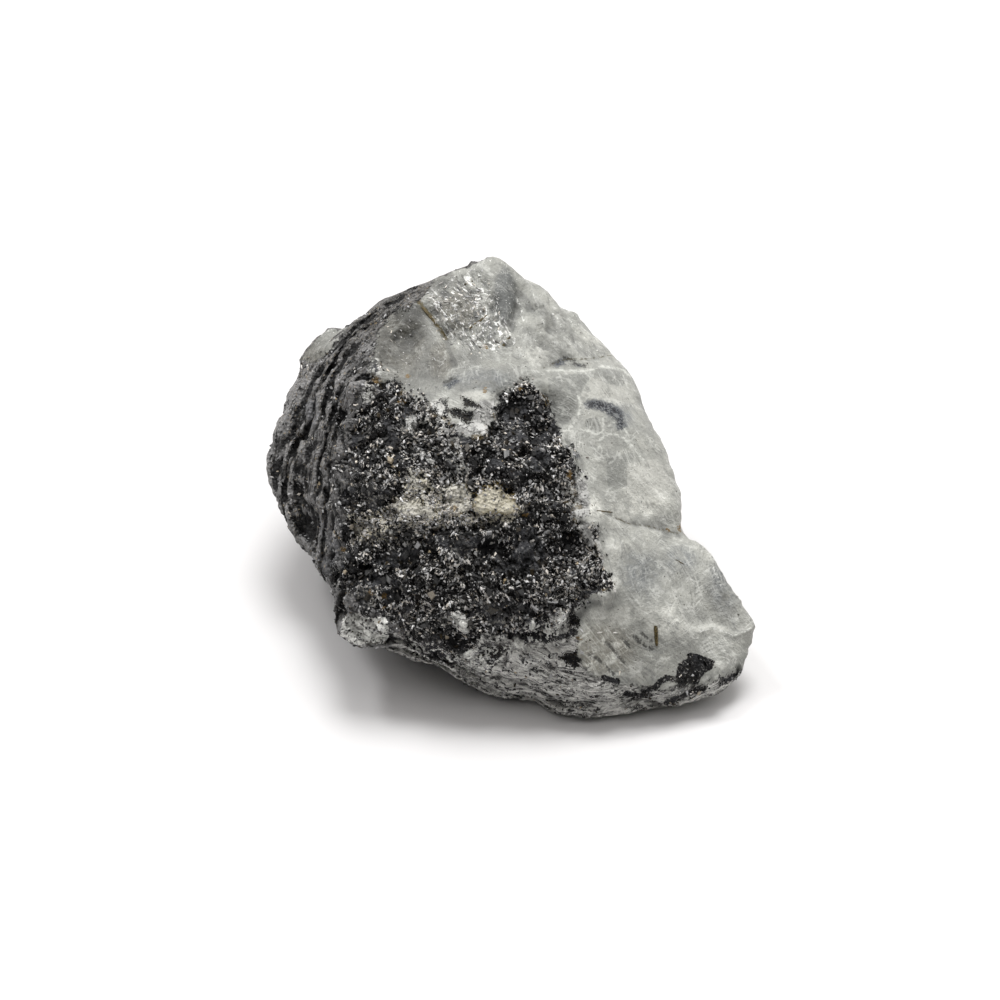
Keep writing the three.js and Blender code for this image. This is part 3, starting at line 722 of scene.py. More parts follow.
FIBRE_SIZE = (2.4, 0.42, 1.5)  # the same for the feldspar's fibres
FIBRE_LEAN = -52  # degrees up from across
CROSS_LEAN = 28
FILLED_WIDTH = 2.6
LOBE_RISE = 0.35
DARK_BITS_DEPTH = 0.25
GROOVES = [  # [lines, depth, how far to each side], and a ridge has a depth below 0
    [CRUST_STEPS, 0.45, 0.7],
    [LOBE_RIDGES, -0.4, 0.7],
    [HIGHLIGHTED_RIDGES, -0.25, 0.5],
    [LOBE_GROOVES, 0.3, 0.6],
    [STROKES, 0.12, 0.35],
    [[CREASE, CRACK], 0.12, 0.5],
]


def nearest_zone(outlines, at):
    """How far inside the nearest of these outlines, mm."""
    return np.max([inside(outline, at) for outline in outlines], axis=0)


def zones_at(points, normals):
    """Where the minerals lie, in mm inside each, and the places that the rest is set out by."""
    face = on_face(points)
    at = seen(face)
    facing = normals @ OUT_OF_FACE
    front = ramp(facing, 0, 0.35)
    ragged = rough(points, 2.4, SEED, 3)

    # the edge of the crust is most ragged at the flank, and the crust ends just behind the face
    to_the_flank = ramp(at[:, 0], -10, -13.5)
    crust = inside(CRUST_OUTLINE, at) + (0.35 + 1.6 * to_the_flank) * ragged
    crust = np.minimum(crust, (face[:, 2] + 4) * 0.8)
    pale = np.maximum(inside(FELDSPAR_OUTLINE, at), inside(EAR, at)) + 0.3 * ragged

    # the hidden sides: crystals in large patches, and feldspar at the right
    crust_back = 5 * rough(points, 9, SEED + 5, 2) - 2.4 - 4 * ramp(facing, -0.6, -0.1)
    pale_back = points[:, 0] - 2 + 3 * rough(points, 8, SEED + 9, 3)
    return {
        "face": face,
        "at": at,
        "facing": facing,
        "front": front,
        "crust": blend(crust_back, crust, ramp(facing, 0, 0.12)),
        "pale": blend(pale_back, pale, ramp(facing, 0, 0.2)),
    }


# ---- Skin ----
def longest_allowed(middle):
    """The longest edge that the skin may have at each place."""
    face = on_face(middle)
    smoother = ramp(inside(FELDSPAR_OUTLINE, seen(face)), 0.5, 1.5)
    front = blend(CRUST_EDGE, PALE_EDGE, smoother)
    return blend(COARSE_EDGE, front, ramp(face[:, 2], -9, -4))


def above_foot(points, top):
    """0 on the flat rest face and 1 from this height up."""
    return ramp(points[:, 2], FOOT, top)


def skin_of(node):
    """The CAD solid's mesh with its arrises worn, the feldspar's more than the crust's."""
    points, triangles = welded(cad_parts[node].data)
    points, triangles = refined(points, triangles, lambda middle: np.full(len(middle), FIRST_EDGE))
    zones = zones_at(points, normals_of(points, triangles))
    wear = blend(CRUST_WEAR, FELDSPAR_WEAR, ramp(zones["pale"], -0.5, 0.5))
    points = relax(points, triangles, wear * above_foot(points, 0.6), passes=5)
    creased = zones["front"] * line_of(FILLED, zones["at"], FILLED_WIDTH)
    points = relax(points, triangles, CREASE_WEAR * creased, passes=12, ways=ONLY_IN)
    points, triangles = refined(points, triangles, longest_allowed)
    points = relax(points, triangles, LAST_WEAR * above_foot(points, 0.6), passes=3)
    return points, triangles


def strata_at(points, at, face):
    """Where a point lies in the schist: far along the layers, close together across them."""
    along, beside = beside_line(LAYER_GUIDE, at)
    across_layers = beside + LAYER_DIP * face[:, 2] + 0.7 * rough(points, 5, SEED + 20, 3)
    return np.stack([along, across_layers, face[:, 2]], axis=1) / LAYER_SIZE


def fibres_at(points, at, face, lean, seed):
    """Where a point lies among curved feldspar fibres that lean by this many degrees."""
    bend = 2.6 * rough(points, 9, seed, 2)
    turn = math.radians(lean)
    along = at[:, 0] * math.cos(turn) + at[:, 1] * math.sin(turn)
    beside = at[:, 1] * math.cos(turn) - at[:, 0] * math.sin(turn) + bend
    return np.stack([along, beside, face[:, 2]], axis=1) / FIBRE_SIZE


def line_of(lines, at, width):
    """1 on the lines and 0 from this far off them."""
    return 1 - ramp(off_lines(lines, at), 0, width)


def bareness(points, at):
    """1 where the crust broke in a plane and holds little grain."""
    return np.maximum(blobs(at, BARE), 0.8 * ramp(rough(points, 2.8, SEED + 70, 2), 0.2, 0.55))


def carved(points, normals, zones):
    """The skin with the broken surface of each mineral."""
    at = zones["at"]
    front = zones["front"]
    crust = ramp(zones["crust"], -0.4, 0.3)
    pale = ramp(zones["pale"], -0.4, 0.4) * (1 - crust)
    schist = (1 - crust) * (1 - pale)
    sparkly = front * ramp(inside(SPARKLY, at), -0.6, 0.4)
    solid = front * ramp(nearest_zone([CREAM, *PALE_FLAKES, *WHITE_PATCHES], at), -0.1, 0.3)

    # what is placed: hollows, steps, grooves and ridges
    rise = front * LOBE_RISE * blob(at, DARK_LOBE)
    rise -= front * DARK_BITS_DEPTH * ramp(nearest_zone(DARK_BITS, at), -0.15, 0.25)
    for place, depth in HOLLOWS:
        rise -= front * depth * blob(at, place)
    for lines, depth, width in GROOVES:
        rise -= front * depth * line_of(lines, at, width)
    opened = ramp(noise(points, 1.6, SEED + 14), -0.45, 0.25)
    rise -= front * schist * opened * FLANK_LINE_DEPTH * line_of(FLANK_LINES, at, FLANK_LINE_WIDTH)

    # the crust's ledges and crumbs
    ledges = 0.5 * facets(points, 3, SEED + 1, 1.1) + 0.3 * facets(points, 1.3, SEED + 11, 1.2)
    crumbs = 0.22 * facets(points, 0.62, SEED + 16, 1.3) + 0.2 * rough(points, 1.4, SEED + 12, 3)
    crumbs = crumbs * (1 - 0.7 * bareness(points, at)) * (1 - 0.7 * solid)
    rise += crust * (ledges * (1 - 0.5 * solid) + crumbs - 0.25 * (1 - solid))

    # the schist's layers
    strata = strata_at(points, at, zones["face"])
    rise += schist * (0.2 * noise(strata, 1, SEED + 2) + 0.12 * noise(strata, 0.5, SEED + 3))
    rise += schist * (0.16 * facets(points, 1.9, SEED + 4, 0.9) + 0.1 * facets(points, 0.7, SEED + 17, 1))

    # the feldspar's shell breaks, its stepped cleavage and its rugged top
    rise += pale * (0.07 * rough(points, 1.8, SEED + 6, 3) + 0.05 * facets(points, 2.2, SEED + 15, 0.8))
    steps = 0.26 * facets(points, 1.4, SEED + 7, 1.3) + 0.2 * facets(points, 0.7, SEED + 8, 1.3)
    rise += sparkly * steps
    top = ramp(at[:, 1], 12.5, 15) * pale * front
    rise += top * (0.16 * facets(points, 1.9, SEED + 18, 1.2) + 0.08 * rough(points, 1, SEED + 19, 2))
    return points + normals * (rise * above_foot(points, 0.8))[:, None]


def fields_of(points, triangles, normals, zones):
    """What the materials and the loose grain go by, for each point."""
    at = zones["at"]
    front = zones["front"]
    face = zones["face"]

    def on_front(field, elsewhere):
        return blend(np.full(len(points), float(elsewhere)), field, ramp(zones["facing"], -0.1, 0.1))

    # the feldspar's own tone with painted light and shade from the table; painted light brightens the lower
    # block
    tone_and_painted_light = 1.05 + 0.05 * ramp(-at[:, 1], 1.5, 3.5)
    for place, bright in TONES_AND_PAINTED_LIGHT:
        tone_and_painted_light *= 1 + (bright - 1) * ramp(blob(at, place), 0, 0.6)
    fields = {
        "crust": zones["crust"],
        "pale": zones["pale"],
        "strata": strata_at(points, at, face),
        "fibres": fibres_at(points, at, face, FIBRE_LEAN, SEED + 30),
        "cross_fibres": fibres_at(points, at, face, CROSS_LEAN, SEED + 31),
        # used to paint shade in low places and highlights on raised ones
        "height": height_over_surroundings(points, triangles, normals, passes=14),
        "open_line": on_front(off_lines(FLANK_LINES, at), 1),
        "satin": on_front(nearest_zone(SATIN, at), -1),
        "band": on_front(inside(BAND, at), -1),
        "bare": front * bareness(points, at),
        "tone_and_painted_light": blend(np.ones(len(points)), tone_and_painted_light, front),
        "sparkly": front * ramp(inside(SPARKLY, at), -0.6, 0.6),
        "block": front * ramp(-at[:, 1], 1.5, 3.5),
        "up": at[:, 1],
    }
    for name, outlines in OUTLINED.items():
        fields[name] = on_front(nearest_zone(outlines, at), -FAR_OFF)
    for name, (outlines, lines, half_width) in STREAKED.items():
        nearest = np.maximum(nearest_zone(outlines, at), half_width - off_lines(lines, at))
        fields[name] = on_front(nearest, -FAR_OFF)
    for name, lines in LINED.items():
        fields[name] = on_front(off_lines(lines, at), FAR_OFF)
    for name, places in OVALS.items():
        fields[name] = front * blobs(at, places)
    return fields


# ---- Materials ----
class Value:
    """A shader value that adds, multiplies and compares as numbers do."""

    def __init__(self, shader, socket):
        self.shader = shader
        self.socket = socket

    def __add__(self, other):
        return self.shader.math("ADD", self, other)

    def __sub__(self, other):
        return self.shader.math("SUBTRACT", self, other)

    def __rsub__(self, other):
        return self.shader.math("SUBTRACT", other, self)

    def __mul__(self, other):
        return self.shader.math("MULTIPLY", self, other)

    def most(self, other):
        return self.shader.math("MAXIMUM", self, other)

    def least(self, other):
        return self.shader.math("MINIMUM", self, other)

    def ramp(self, low, high, start=0.0, end=1.0):
        """Smoothly from start to end as the value goes from low to high."""
        node = self.shader.node("MapRange", self, low, high, start, end)
        node.interpolation_type = "SMOOTHSTEP"
        return Value(self.shader, node.outputs[0])

    __radd__ = __add__
    __rmul__ = __mul__


class Shader:
    """A material, whose nodes are made by sums on its values."""

    def __init__(self, name):
        self.material = bpy.data.materials.new(name)
        self.material.use_nodes = True
        self.nodes = self.material.node_tree.nodes
        self.place = Value(self, self.node("TexCoord").outputs["Object"])

    def feed(self, socket, value):
        if isinstance(value, Value):
            self.material.node_tree.links.new(value.socket, socket)
        elif isinstance(value, tuple) and socket.type == "RGBA":
            socket.default_value = (*value, 1)
        else:
            socket.default_value = value

    def node(self, kind, *inputs, **named):
        """A new node of this kind, with its first inputs fed in their order and others by name."""
        node = self.nodes.new("ShaderNode" + kind)
        for socket, value in zip(node.inputs, inputs):
            self.feed(socket, value)
        for name, value in named.items():
            self.feed(node.inputs[name], value)
        return node

    def set(self, **inputs):
        """Feeds the inputs of the surface, whose names have a _ for each space."""
        for name, value in inputs.items():
            self.feed(self.nodes["Principled BSDF"].inputs[name.replace("_", " ")], value)

    def math(self, operation, *inputs, kind="Math"):
        node = self.node(kind, *inputs)
        node.operation = operation
        return Value(self, node.outputs[0])

    def stretched(self, vector, by):
        return self.math("MULTIPLY", vector, by, kind="VectorMath")

    def field(self, name, output="Fac"):
        node = self.node("Attribute")
        node.attribute_name = name
        return Value(self, node.outputs[output])

    def noise(self, vector, size, detail=3.0, roughness=0.55, distortion=0.0, unit=MM, output="Fac"):
        node = self.node("TexNoise", Vector=vector, Scale=1 / (size * unit), Detail=detail)
        self.feed(node.inputs["Roughness"], roughness)
        self.feed(node.inputs["Distortion"], distortion)
        return Value(self, node.outputs[output])

    def hairs(self, vector, size, width, unit=MM):
        """1 on thin winding lines about this size apart; width is in shares of the noise."""
        off = self.noise(vector, size, 1.5, 0.5, 0.6, unit) - 0.5
        return (off * off).ramp(width * width, width * width * 0.1)

    def warped(self, vector, size, by):
        """The place, pushed about by noise of this size, by up to about this many mm."""
        push = self.noise(vector, size, 2, 0.5, output="Color")
        return self.math("MULTIPLY_ADD", push, (by * MM,) * 3, vector, kind="VectorMath")

    def cells(self, vector, size, feature="F1", output="Distance"):
        node = self.node("TexVoronoi", Vector=vector, Scale=1 / (size * MM))
        node.feature = feature
        return Value(self, node.outputs[output])

    def mix(self, a, b, share, way="MIX"):
        node = self.node("Mix", share)
        node.data_type = "RGBA"
        node.blend_type = way
        self.feed(node.inputs[6], a)
        self.feed(node.inputs[7], b)
        return Value(self, node.outputs[2])

    def layered(self, colour, *layers):
        """This colour under layers of [colour, share], each laid over the ones before."""
        for over, share in layers:
            colour = self.mix(colour, over, share)
        return colour

    def bump(self, height, depth, after=None):
        """A bump whose height of 1 stands this many mm out."""
        node = self.node("Bump", Distance=depth * MM, Height=height)
        if after is not None:
            self.feed(node.inputs["Normal"], after)
        return Value(self, node.outputs[0])


NO_LIGHT = (0.0, 0.0, 0.0)
ALL_LIGHT = (1.0, 1.0, 1.0)
BLACK = (0.004, 0.004, 0.0045)  # the blackest that mica is
DARK_GREY = (0.11, 0.112, 0.11)
LIGHT_GREY = (0.52, 0.525, 0.515)
MOST_TONE_AND_LIGHT = 2.0  # no place is brightened by its tone and painted light more than this
BLUE_LEFT = 0.955  # the feldspar is a little warm: it gives back this share of the blue
ROCK_IOR = 1.33  # low, since the rock is dull and worn


class Grain:
    """The noises that the rock's minerals share, and the edges of their zones."""

    def __init__(self, s):
        strata = s.field("strata", "Vector")
        self.shader = s
        self.fine = s.noise(s.place, 0.5, 5, 0.65)
        self.grainy = s.noise(s.place, 0.22, 3, 0.6)
        self.grit = s.noise(s.place, 0.13, 2, 0.6)
        self.coarse = s.noise(s.place, 2.2, 4)
        self.cloud = s.noise(s.place, 1.4, 5, 0.62)
        self.ragged = (self.fine - 0.5) * 2 + (self.grainy - 0.5)
        self.lines = s.noise(strata, 1, 4, 0.6, 0.3, unit=1)
        self.thin = s.noise(strata, 0.4, 3, 0.6, 0.2, unit=1)

    def zone(self, name, low, high, ragged=0.0):
        """0 where this field is at low and 1 at high, with an edge that is this ragged."""
        field = self.shader.field(name)
        if ragged:
            field = field + ragged * self.ragged
        return field.ramp(low, high)


def feldspar_colour(s, g):
    """Milky grey, with pieces at different depths, veins, fibres, scratches and inclusions, and painted
    light, shade and glints.
    """
    fibres = s.field("fibres", "Vector")
    block = s.field("block")
    sparkly = s.field("sparkly")
    top = g.zone("up", 11, 15)  # the rugged upper part of the face
    plates = s.cells(s.warped(s.place, 2.4, 2.2), 3.2, "F1", "Color")
    speckled = g.zone("greyish", 0, 0.5) * (1 - 0.6 * block)
    pale = s.layered(
        (0.3, 0.303, 0.292),
        ((0.42, 0.422, 0.402), g.coarse.ramp(0.35, 0.7)),
        ((0.25, 0.254, 0.245), plates.ramp(0.3, 0.75) * 0.4),
        ((0.215, 0.22, 0.212), g.zone("dark_cell", -0.05, 0.06, 0.15) * 0.75),
        ((0.47, 0.47, 0.45), g.zone("light_cell", -0.05, 0.06, 0.15) * 0.7),
        ((0.19, 0.203, 0.218), g.zone("bluish", 0, 0.8) * g.cloud.ramp(0.3, 0.6) * 0.8),
        ((0.178, 0.169, 0.146), g.zone("greyish", 0, 0.7) * 0.75),
        ((0.08, 0.076, 0.064), g.fine.ramp(0.47, 0.36) * speckled * 0.6),
        ((0.45, 0.44, 0.4), g.fine.ramp(0.54, 0.64) * speckled * 0.5),
        ((0.13, 0.14, 0.145), g.zone("lobe", 0.05, 0.5) * 0.8),
        ((0.6, 0.6, 0.575), g.zone("milky", 0, 0.8) * g.cloud.ramp(0.3, 0.62) * 0.9),
    )

    # fibres, scratches and thin winding lines
    long_fibres = s.stretched(fibres, (0.45, 1, 1))
    long_crossing = s.stretched(s.field("cross_fibres", "Vector"), (0.5, 1, 1))
    wisps = s.noise(fibres, 1, 5, 0.6, 0.8, unit=1)
    scratches = s.noise(long_fibres, 0.6, 4, 0.65, 0.4, unit=1)
    crossing = s.noise(long_crossing, 0.8, 4, 0.65, 0.6, unit=1)
    thread = s.hairs(long_fibres, 1.5, 0.035, 1).most(s.hairs(s.warped(s.place, 3, 3), 1.7, 0.022))
    thread = thread.most(s.hairs(long_crossing, 2.2, 0.03, 1) * block)
    dark_thread = s.hairs(long_fibres, 2.4, 0.03, 1) * g.cloud.ramp(0.5, 0.38)
    pale = s.layered(
        pale,
        (LIGHT_GREY, wisps.ramp(0.52, 0.75) * block.ramp(0, 1, 0.25, 0.4)),
        ((0.13, 0.137, 0.148), wisps.ramp(0.46, 0.28) * block.ramp(0, 1, 0.3, 0.45)),
        ((0.56, 0.565, 0.56), scratches.ramp(0.55, 0.68) * block.ramp(0, 1, 0.2, 0.4)),
        ((0.14, 0.145, 0.15), scratches.ramp(0.44, 0.32) * block.ramp(0, 1, 0.3, 0.4)),
        (LIGHT_GREY, crossing.ramp(0.56, 0.7) * block.ramp(0, 1, 0.2, 0.35)),
        ((0.15, 0.155, 0.155), crossing.ramp(0.43, 0.3) * block.ramp(0, 1, 0.2, 0.3)),
        ((0.66, 0.665, 0.655), thread * g.cloud.ramp(0.44, 0.6) * 0.45),
        ((0.12, 0.122, 0.12), dark_thread * 0.4),
    )

    # cracks seen as white veins, then the grit of the broken surface, and painted shade in its low places
    edge = s.cells(s.warped(s.place, 3, 3.2), 4.2, "DISTANCE_TO_EDGE")
    vein = edge.ramp(0.05, 0.0) * g.cloud.ramp(0.45, 0.62) * 0.35
    placed_vein = g.zone("vein", 0.18, 0.02, 0.22) * g.cloud.ramp(0.25, 0.45)
    rugged = (top * 0.6 + 0.25 * block).least(1)
    pale = s.layered(
        pale,
        ((0.64, 0.65, 0.63), vein.most(placed_vein * 0.85)),
        ((0.55, 0.555, 0.54), g.zone("vein", 0.8, 0.1) * 0.12),
        (DARK_GREY, g.grit.ramp(0.44, 0.3) * rugged.ramp(0, 1, 0.1, 0.4)),
        (DARK_GREY, g.grainy.ramp(0.44, 0.3) * rugged.ramp(0, 1, 0.1, 0.4)),
        ((0.66, 0.67, 0.66), g.grit.ramp(0.57, 0.74) * rugged.ramp(0, 1, 0.15, 0.5)),
        # painted glints: white dots on the rugged top
        ((0.95, 0.95, 0.95), s.noise(s.place, 0.24, 1).ramp(0.7, 0.75) * top * 0.9),
        ((0.1, 0.103, 0.105), g.zone("height", -0.02, -0.2) * 0.5),
    )

    # the stepped cleavage with painted glints and painted shade on its steps, painted highlights along the
    # arrises, and dark strokes
    steps = s.noise(s.stretched(fibres, (1, 0.75, 1)), 0.7, 2, 0.6, 0.5, unit=1)
    painted_ridge_highlight = g.zone("painted_ridge_highlight", 0.14, 0.04, 0.2) * g.grainy.ramp(0.42, 0.54)
    pale = s.layered(
        pale,
        ((0.95, 0.96, 0.97), steps.ramp(0.585, 0.61) * sparkly * g.fine.ramp(0.44, 0.5)),
        ((0.13, 0.134, 0.135), steps.ramp(0.43, 0.38) * sparkly * 0.7),
        ((0.9, 0.91, 0.91), painted_ridge_highlight * 0.8),
        ((0.06, 0.06, 0.058), g.zone("stroke", 0.24, 0.06, 0.35) * 0.85),
    )
    # the feldspar's own tone with painted light and painted shade, from tone_and_painted_light
    brightest = s.stretched(pale, (MOST_TONE_AND_LIGHT, MOST_TONE_AND_LIGHT, BLUE_LEFT * MOST_TONE_AND_LIGHT))
    pale = s.mix(NO_LIGHT, brightest, s.field("tone_and_painted_light") * (1 / MOST_TONE_AND_LIGHT))

    # mica in and under the surface, and the stained crack
    inclusion = g.zone("inclusion", -0.1, 0.3, 0.8)
    mixed = g.fine * 0.5 + g.grainy * 0.35 + g.grit * 0.15
    dots = s.noise(s.place, 0.3, 1).ramp(0.71, 0.77)
    crack = g.zone("crack", 0.13, 0.04, 0.1) * g.cloud.ramp(0.36, 0.5)
    return s.layered(
        pale,
        ((0.055, 0.066, 0.085), inclusion * mixed.ramp(0.6, 0.48, 0.4, 0.92)),
        ((0.012, 0.012, 0.014), inclusion * mixed.ramp(0.52, 0.48) * 0.9),
        ((0.045, 0.04, 0.03), dots * g.coarse.ramp(0.4, 0.58)),
        ((0.09, 0.07, 0.022), g.zone("stain", 0.3, 0.1, 0.25) * 0.85),
        ((0.1, 0.09, 0.055), crack * 0.8),
    )


def schist_colour(s, g):
    """Satin grey layers with black lines between them, brown and white flecks, paler along the keel; painted
    shade darkens the open gaps and low places, and painted highlights lighten raised layers.
    """
    height = s.field("height")
    satin = g.zone("satin", -0.1, 0.1, 0.2)
    flecks = g.grainy.ramp(0.56, 0.64) * g.thin.ramp(0.6, 0.4) * g.coarse.ramp(0.34, 0.55)
    schist = s.layered(
        (0.04, 0.039, 0.037),
        ((0.23, 0.227, 0.225), g.lines.ramp(0.41, 0.58)),
        # painted highlight on raised layers
        ((0.27, 0.267, 0.265), height.ramp(0.02, 0.15) * s.field("up").ramp(16, 12, 0.4, 0.7)),
        ((0.215, 0.216, 0.223), satin),
        ((0.05, 0.045, 0.036), g.zone("up", 14, 17) * 0.3),
        (BLACK, g.thin.ramp(0.46, 0.36) * (1 - 0.7 * satin)),
        ((0.34, 0.28, 0.19), flecks * 0.85),
        ((0.65, 0.64, 0.6), g.grit.ramp(0.6, 0.68) * g.fine.ramp(0.46, 0.58) * 0.8),
        # painted shade in low places
        (BLACK, height.ramp(-0.01, -0.13) * 0.9),
        # painted shade in the open layer gaps
        (BLACK, g.zone("open_line", 0.24, 0.06, 0.5) * 0.9),
        (BLACK, g.zone("crust", -3, -0.4, 0.8) * (0.3 + 0.4 * g.fine.ramp(0.4, 0.6))),
    )

    strata = s.field("strata", "Vector")
    lenses = s.noise(s.stretched(strata, (1, 0.5, 1)), 0.9, 2, 0.5, 0.6, unit=1)
    dark_hairs = s.hairs(s.stretched(strata, (1, 0.8, 1)), 1.3, 0.03, 1)
    pale_hairs = s.hairs(s.stretched(strata, (0.8, 1.2, 1)), 1.7, 0.024, 1)
    band = s.layered(
        (0.16, 0.158, 0.15),
        ((0.56, 0.555, 0.525), (g.lines * 0.4 + g.cloud * 0.6).ramp(0.4, 0.57)),
        ((0.07, 0.07, 0.068), lenses.ramp(0.43, 0.4) * 0.7),
        ((0.8, 0.795, 0.75), g.thin.ramp(0.53, 0.59) * 0.7),
        ((0.012, 0.012, 0.012), dark_hairs * 0.85),
        ((0.02, 0.02, 0.02), g.thin.ramp(0.42, 0.37) * g.coarse.ramp(0.6, 0.4) * 0.9),
        ((0.85, 0.84, 0.8), pale_hairs * 0.7),
        ((0.92, 0.91, 0.87), g.grit.ramp(0.57, 0.64) * 0.7),
        # painted shade in low places
        ((0.02, 0.02, 0.02), height.ramp(-0.04, -0.18) * 0.6),
    )
    return s.mix(schist, band, g.zone("band", -0.4, 0.4, 1.1))


def crust_colour(s, g):
    """Black mica, dark grey where it broke in planes, with pale feldspar specks, painted glints and painted
    shade in its low places.
    """
    gritty = g.zone("gritty", 0.05, 0.6)
    plane = g.zone("bare", 0.28, 0.4, 0.35)
    flakes = s.noise(s.stretched(s.field("fibres", "Vector"), (2.4, 1, 1)), 0.5, 2, 0.6, 0.6, unit=1)
    clump = (g.cloud * 0.5 + g.fine * 0.5).ramp(0.43, 0.56)
    # painted glints in elongated flecks, mixed with pale specks
    glints_and_pale_specks = (flakes * 0.7 + g.grit * 0.3 + 0.03 * gritty).ramp(0.55, 0.58) * clump
    grains_here = (g.fine * 0.6 + g.grainy * 0.4).ramp(0.53, 0.55) * gritty
    return s.layered(
        BLACK,
        ((0.03, 0.03, 0.032), g.grainy.ramp(0.45, 0.6)),
        ((0.034, 0.035, 0.039), plane * g.fine.ramp(0.36, 0.5, 0.5, 1)),
        ((0.6, 0.59, 0.56), glints_and_pale_specks * (1 - 0.8 * plane)),
        ((0.32, 0.31, 0.28), grains_here * 0.8),
        ((0.07, 0.052, 0.026), g.grainy.ramp(0.52, 0.6) * g.coarse.ramp(0.5, 0.62) * 0.6),
        # painted shade in low places
        (BLACK, g.zone("height", 0.0, -0.2) * 0.9),
    )


def beige_colour(s, g):
    """Weathered grains and black ones side by side, with brown between them."""
    return s.layered(
        (0.024, 0.022, 0.018),
        ((0.6, 0.565, 0.455), (g.grainy * 0.5 + g.fine * 0.5).ramp(0.462, 0.495)),
        ((0.2, 0.15, 0.06), g.cloud.ramp(0.52, 0.6) * 0.5),
        ((0.015, 0.014, 0.012), g.thin.ramp(0.43, 0.39) * 0.9),
    )


def white_colour(s, g, low):
    """White feldspar with black grains and veins, with painted light that brightens it low on the face."""
    veined = s.hairs(s.warped(s.place, 1.6, 1.2), 1.3, 0.03)
    white = s.layered(
        (0.24, 0.24, 0.23),
        ((0.6, 0.6, 0.575), (g.cloud * 0.7 + g.grainy * 0.3).ramp(0.42, 0.56)),
        ((0.012, 0.012, 0.011), (g.fine * 0.6 + g.grainy * 0.4).ramp(0.44, 0.42) * 0.9),
        ((0.015, 0.014, 0.01), veined * g.coarse.ramp(0.46, 0.56) * 0.85),
    )
    return s.mix(white, s.mix(white, (1.6, 1.6, 1.58), 1.0, "MULTIPLY"), low)


def cream_colour(s, g):
    return s.layered(
        (0.31, 0.28, 0.195),
        ((0.62, 0.585, 0.475), (g.cloud * 0.6 + g.fine * 0.4).ramp(0.4, 0.54)),
        ((0.12, 0.1, 0.06), g.grainy.ramp(0.4, 0.34) * 0.7),
        ((0.26, 0.2, 0.09), g.zone("cream", 0.5, 0.0) * g.fine.ramp(0.4, 0.55) * 0.6),
    )


def pale_flake_colour(s, g):
    return s.layered(
        (0.32, 0.305, 0.25),
        ((0.64, 0.62, 0.55), (g.cloud * 0.5 + g.fine * 0.5).ramp(0.4, 0.54)),
        ((0.04, 0.034, 0.022), g.grainy.ramp(0.43, 0.38) * 0.9),
    )


def rock_material():
    """Feldspar, schist and crust, and the patches in the crust, each in its own zone."""
    s = Shader("rock")
    g = Grain(s)
    pale_here = g.zone("pale", -0.06, 0.06, 0.9)
    crust_here = g.zone("crust", -0.05, 0.05, 0.9)
    cluster_here = g.zone("cluster", -0.04, 0.05, 0.32)
    bits_here = (s.field("dark_bits") + 0.6 * g.ragged + 1.4 * (g.grit - 0.5)).ramp(-0.05, 0.03)
    beige_here = (s.field("beige") + 1.2 * g.ragged + 1.2 * (g.grainy - 0.5)).ramp(-0.05, 0.2)
    brown_edge = g.zone("crust", -0.15, 0.05, 0.9) * g.zone("crust", 0.5, 0.2, 0.9) * pale_here

    crust = crust_colour(s, g)
    # painted light: brighter low on the face, where the keel turns from the light
    low = g.zone("up", -8.5, -11.5)
    mottled_pale = s.mix((0.5, 0.5, 0.47), (0.74, 0.74, 0.7), low)
    blotches = (g.cloud * 0.4 + g.fine * 0.4 + g.grainy * 0.2).ramp(0.5, 0.515)
    bits = s.mix(BLACK, (0.03, 0.026, 0.018), g.grainy.ramp(0.52, 0.6))
    colour = s.layered(
        schist_colour(s, g),
        (feldspar_colour(s, g), pale_here),
        (crust, crust_here),
        (s.mix(crust, mottled_pale, blotches), g.zone("mottled", -0.2, 0.2, 0.9)),
        (beige_colour(s, g), beige_here * 0.9),
        (white_colour(s, g, low), g.zone("white", -0.05, 0.08, 0.5)),
        (s.mix(crust, BLACK, 0.5), cluster_here),
        (bits, bits_here),
        (pale_flake_colour(s, g), g.zone("pale_flake", -0.04, 0.04, 0.45)),
        (cream_colour(s, g), g.zone("cream", -0.04, 0.05, 0.2)),
        ((0.21, 0.155, 0.05), g.zone("cream_rim", 0.4, 0.15, 0.25) * g.grainy.ramp(0.4, 0.55)),
        ((0.15, 0.11, 0.045), brown_edge * g.coarse.ramp(0.5, 0.62) * 0.7),
        ((0.19, 0.115, 0.03), g.zone("rust", 0.3, 0.6, 0.5) * g.grainy.ramp(0.38, 0.52) * 0.85),
    )

    dark_here = (1 - pale_here).most(crust_here).most(cluster_here).most(bits_here)
    rough_here = 0.36 + 0.14 * dark_here - 0.12 * s.field("sparkly")
    layers = s.bump((g.lines + 0.5 * g.thin) * (1 - pale_here) * (1 - crust_here), 0.16)
    chips = s.bump(s.cells(s.place, 0.34) * dark_here.ramp(0, 1, 0.25, 1), 0.2, layers)
    s.set(Base_Color=colour, Roughness=rough_here, IOR=ROCK_IOR)
    s.set(Normal=s.bump(g.grit + g.fine, 0.07, chips))
    s.set(Subsurface_Weight=0.1, Subsurface_Scale=0.35 * MM, Subsurface_Radius=ALL_LIGHT)
    return s.material


def grain_material(name, roughness, coat):
    """Small crystals, each with its own tone and warmth."""
    s = Shader(name)
    grey = s.mix(NO_LIGHT, ALL_LIGHT, s.field("tone"))
    brown = s.mix(grey, (1.0, 0.78, 0.45), 1.0, "MULTIPLY")
    stripes = s.noise(s.place, 0.1, 2)
    colour = s.layered(grey, (brown, s.field("warm")), (NO_LIGHT, stripes.ramp(0.5, 0.3) * 0.4))
    rough_here = stripes.ramp(0.3, 0.7, roughness * 0.7, roughness * 1.3)
    s.set(Base_Color=colour, Roughness=rough_here, Coat_Weight=coat, Coat_Roughness=0.2, IOR=ROCK_IOR)
    return s.material


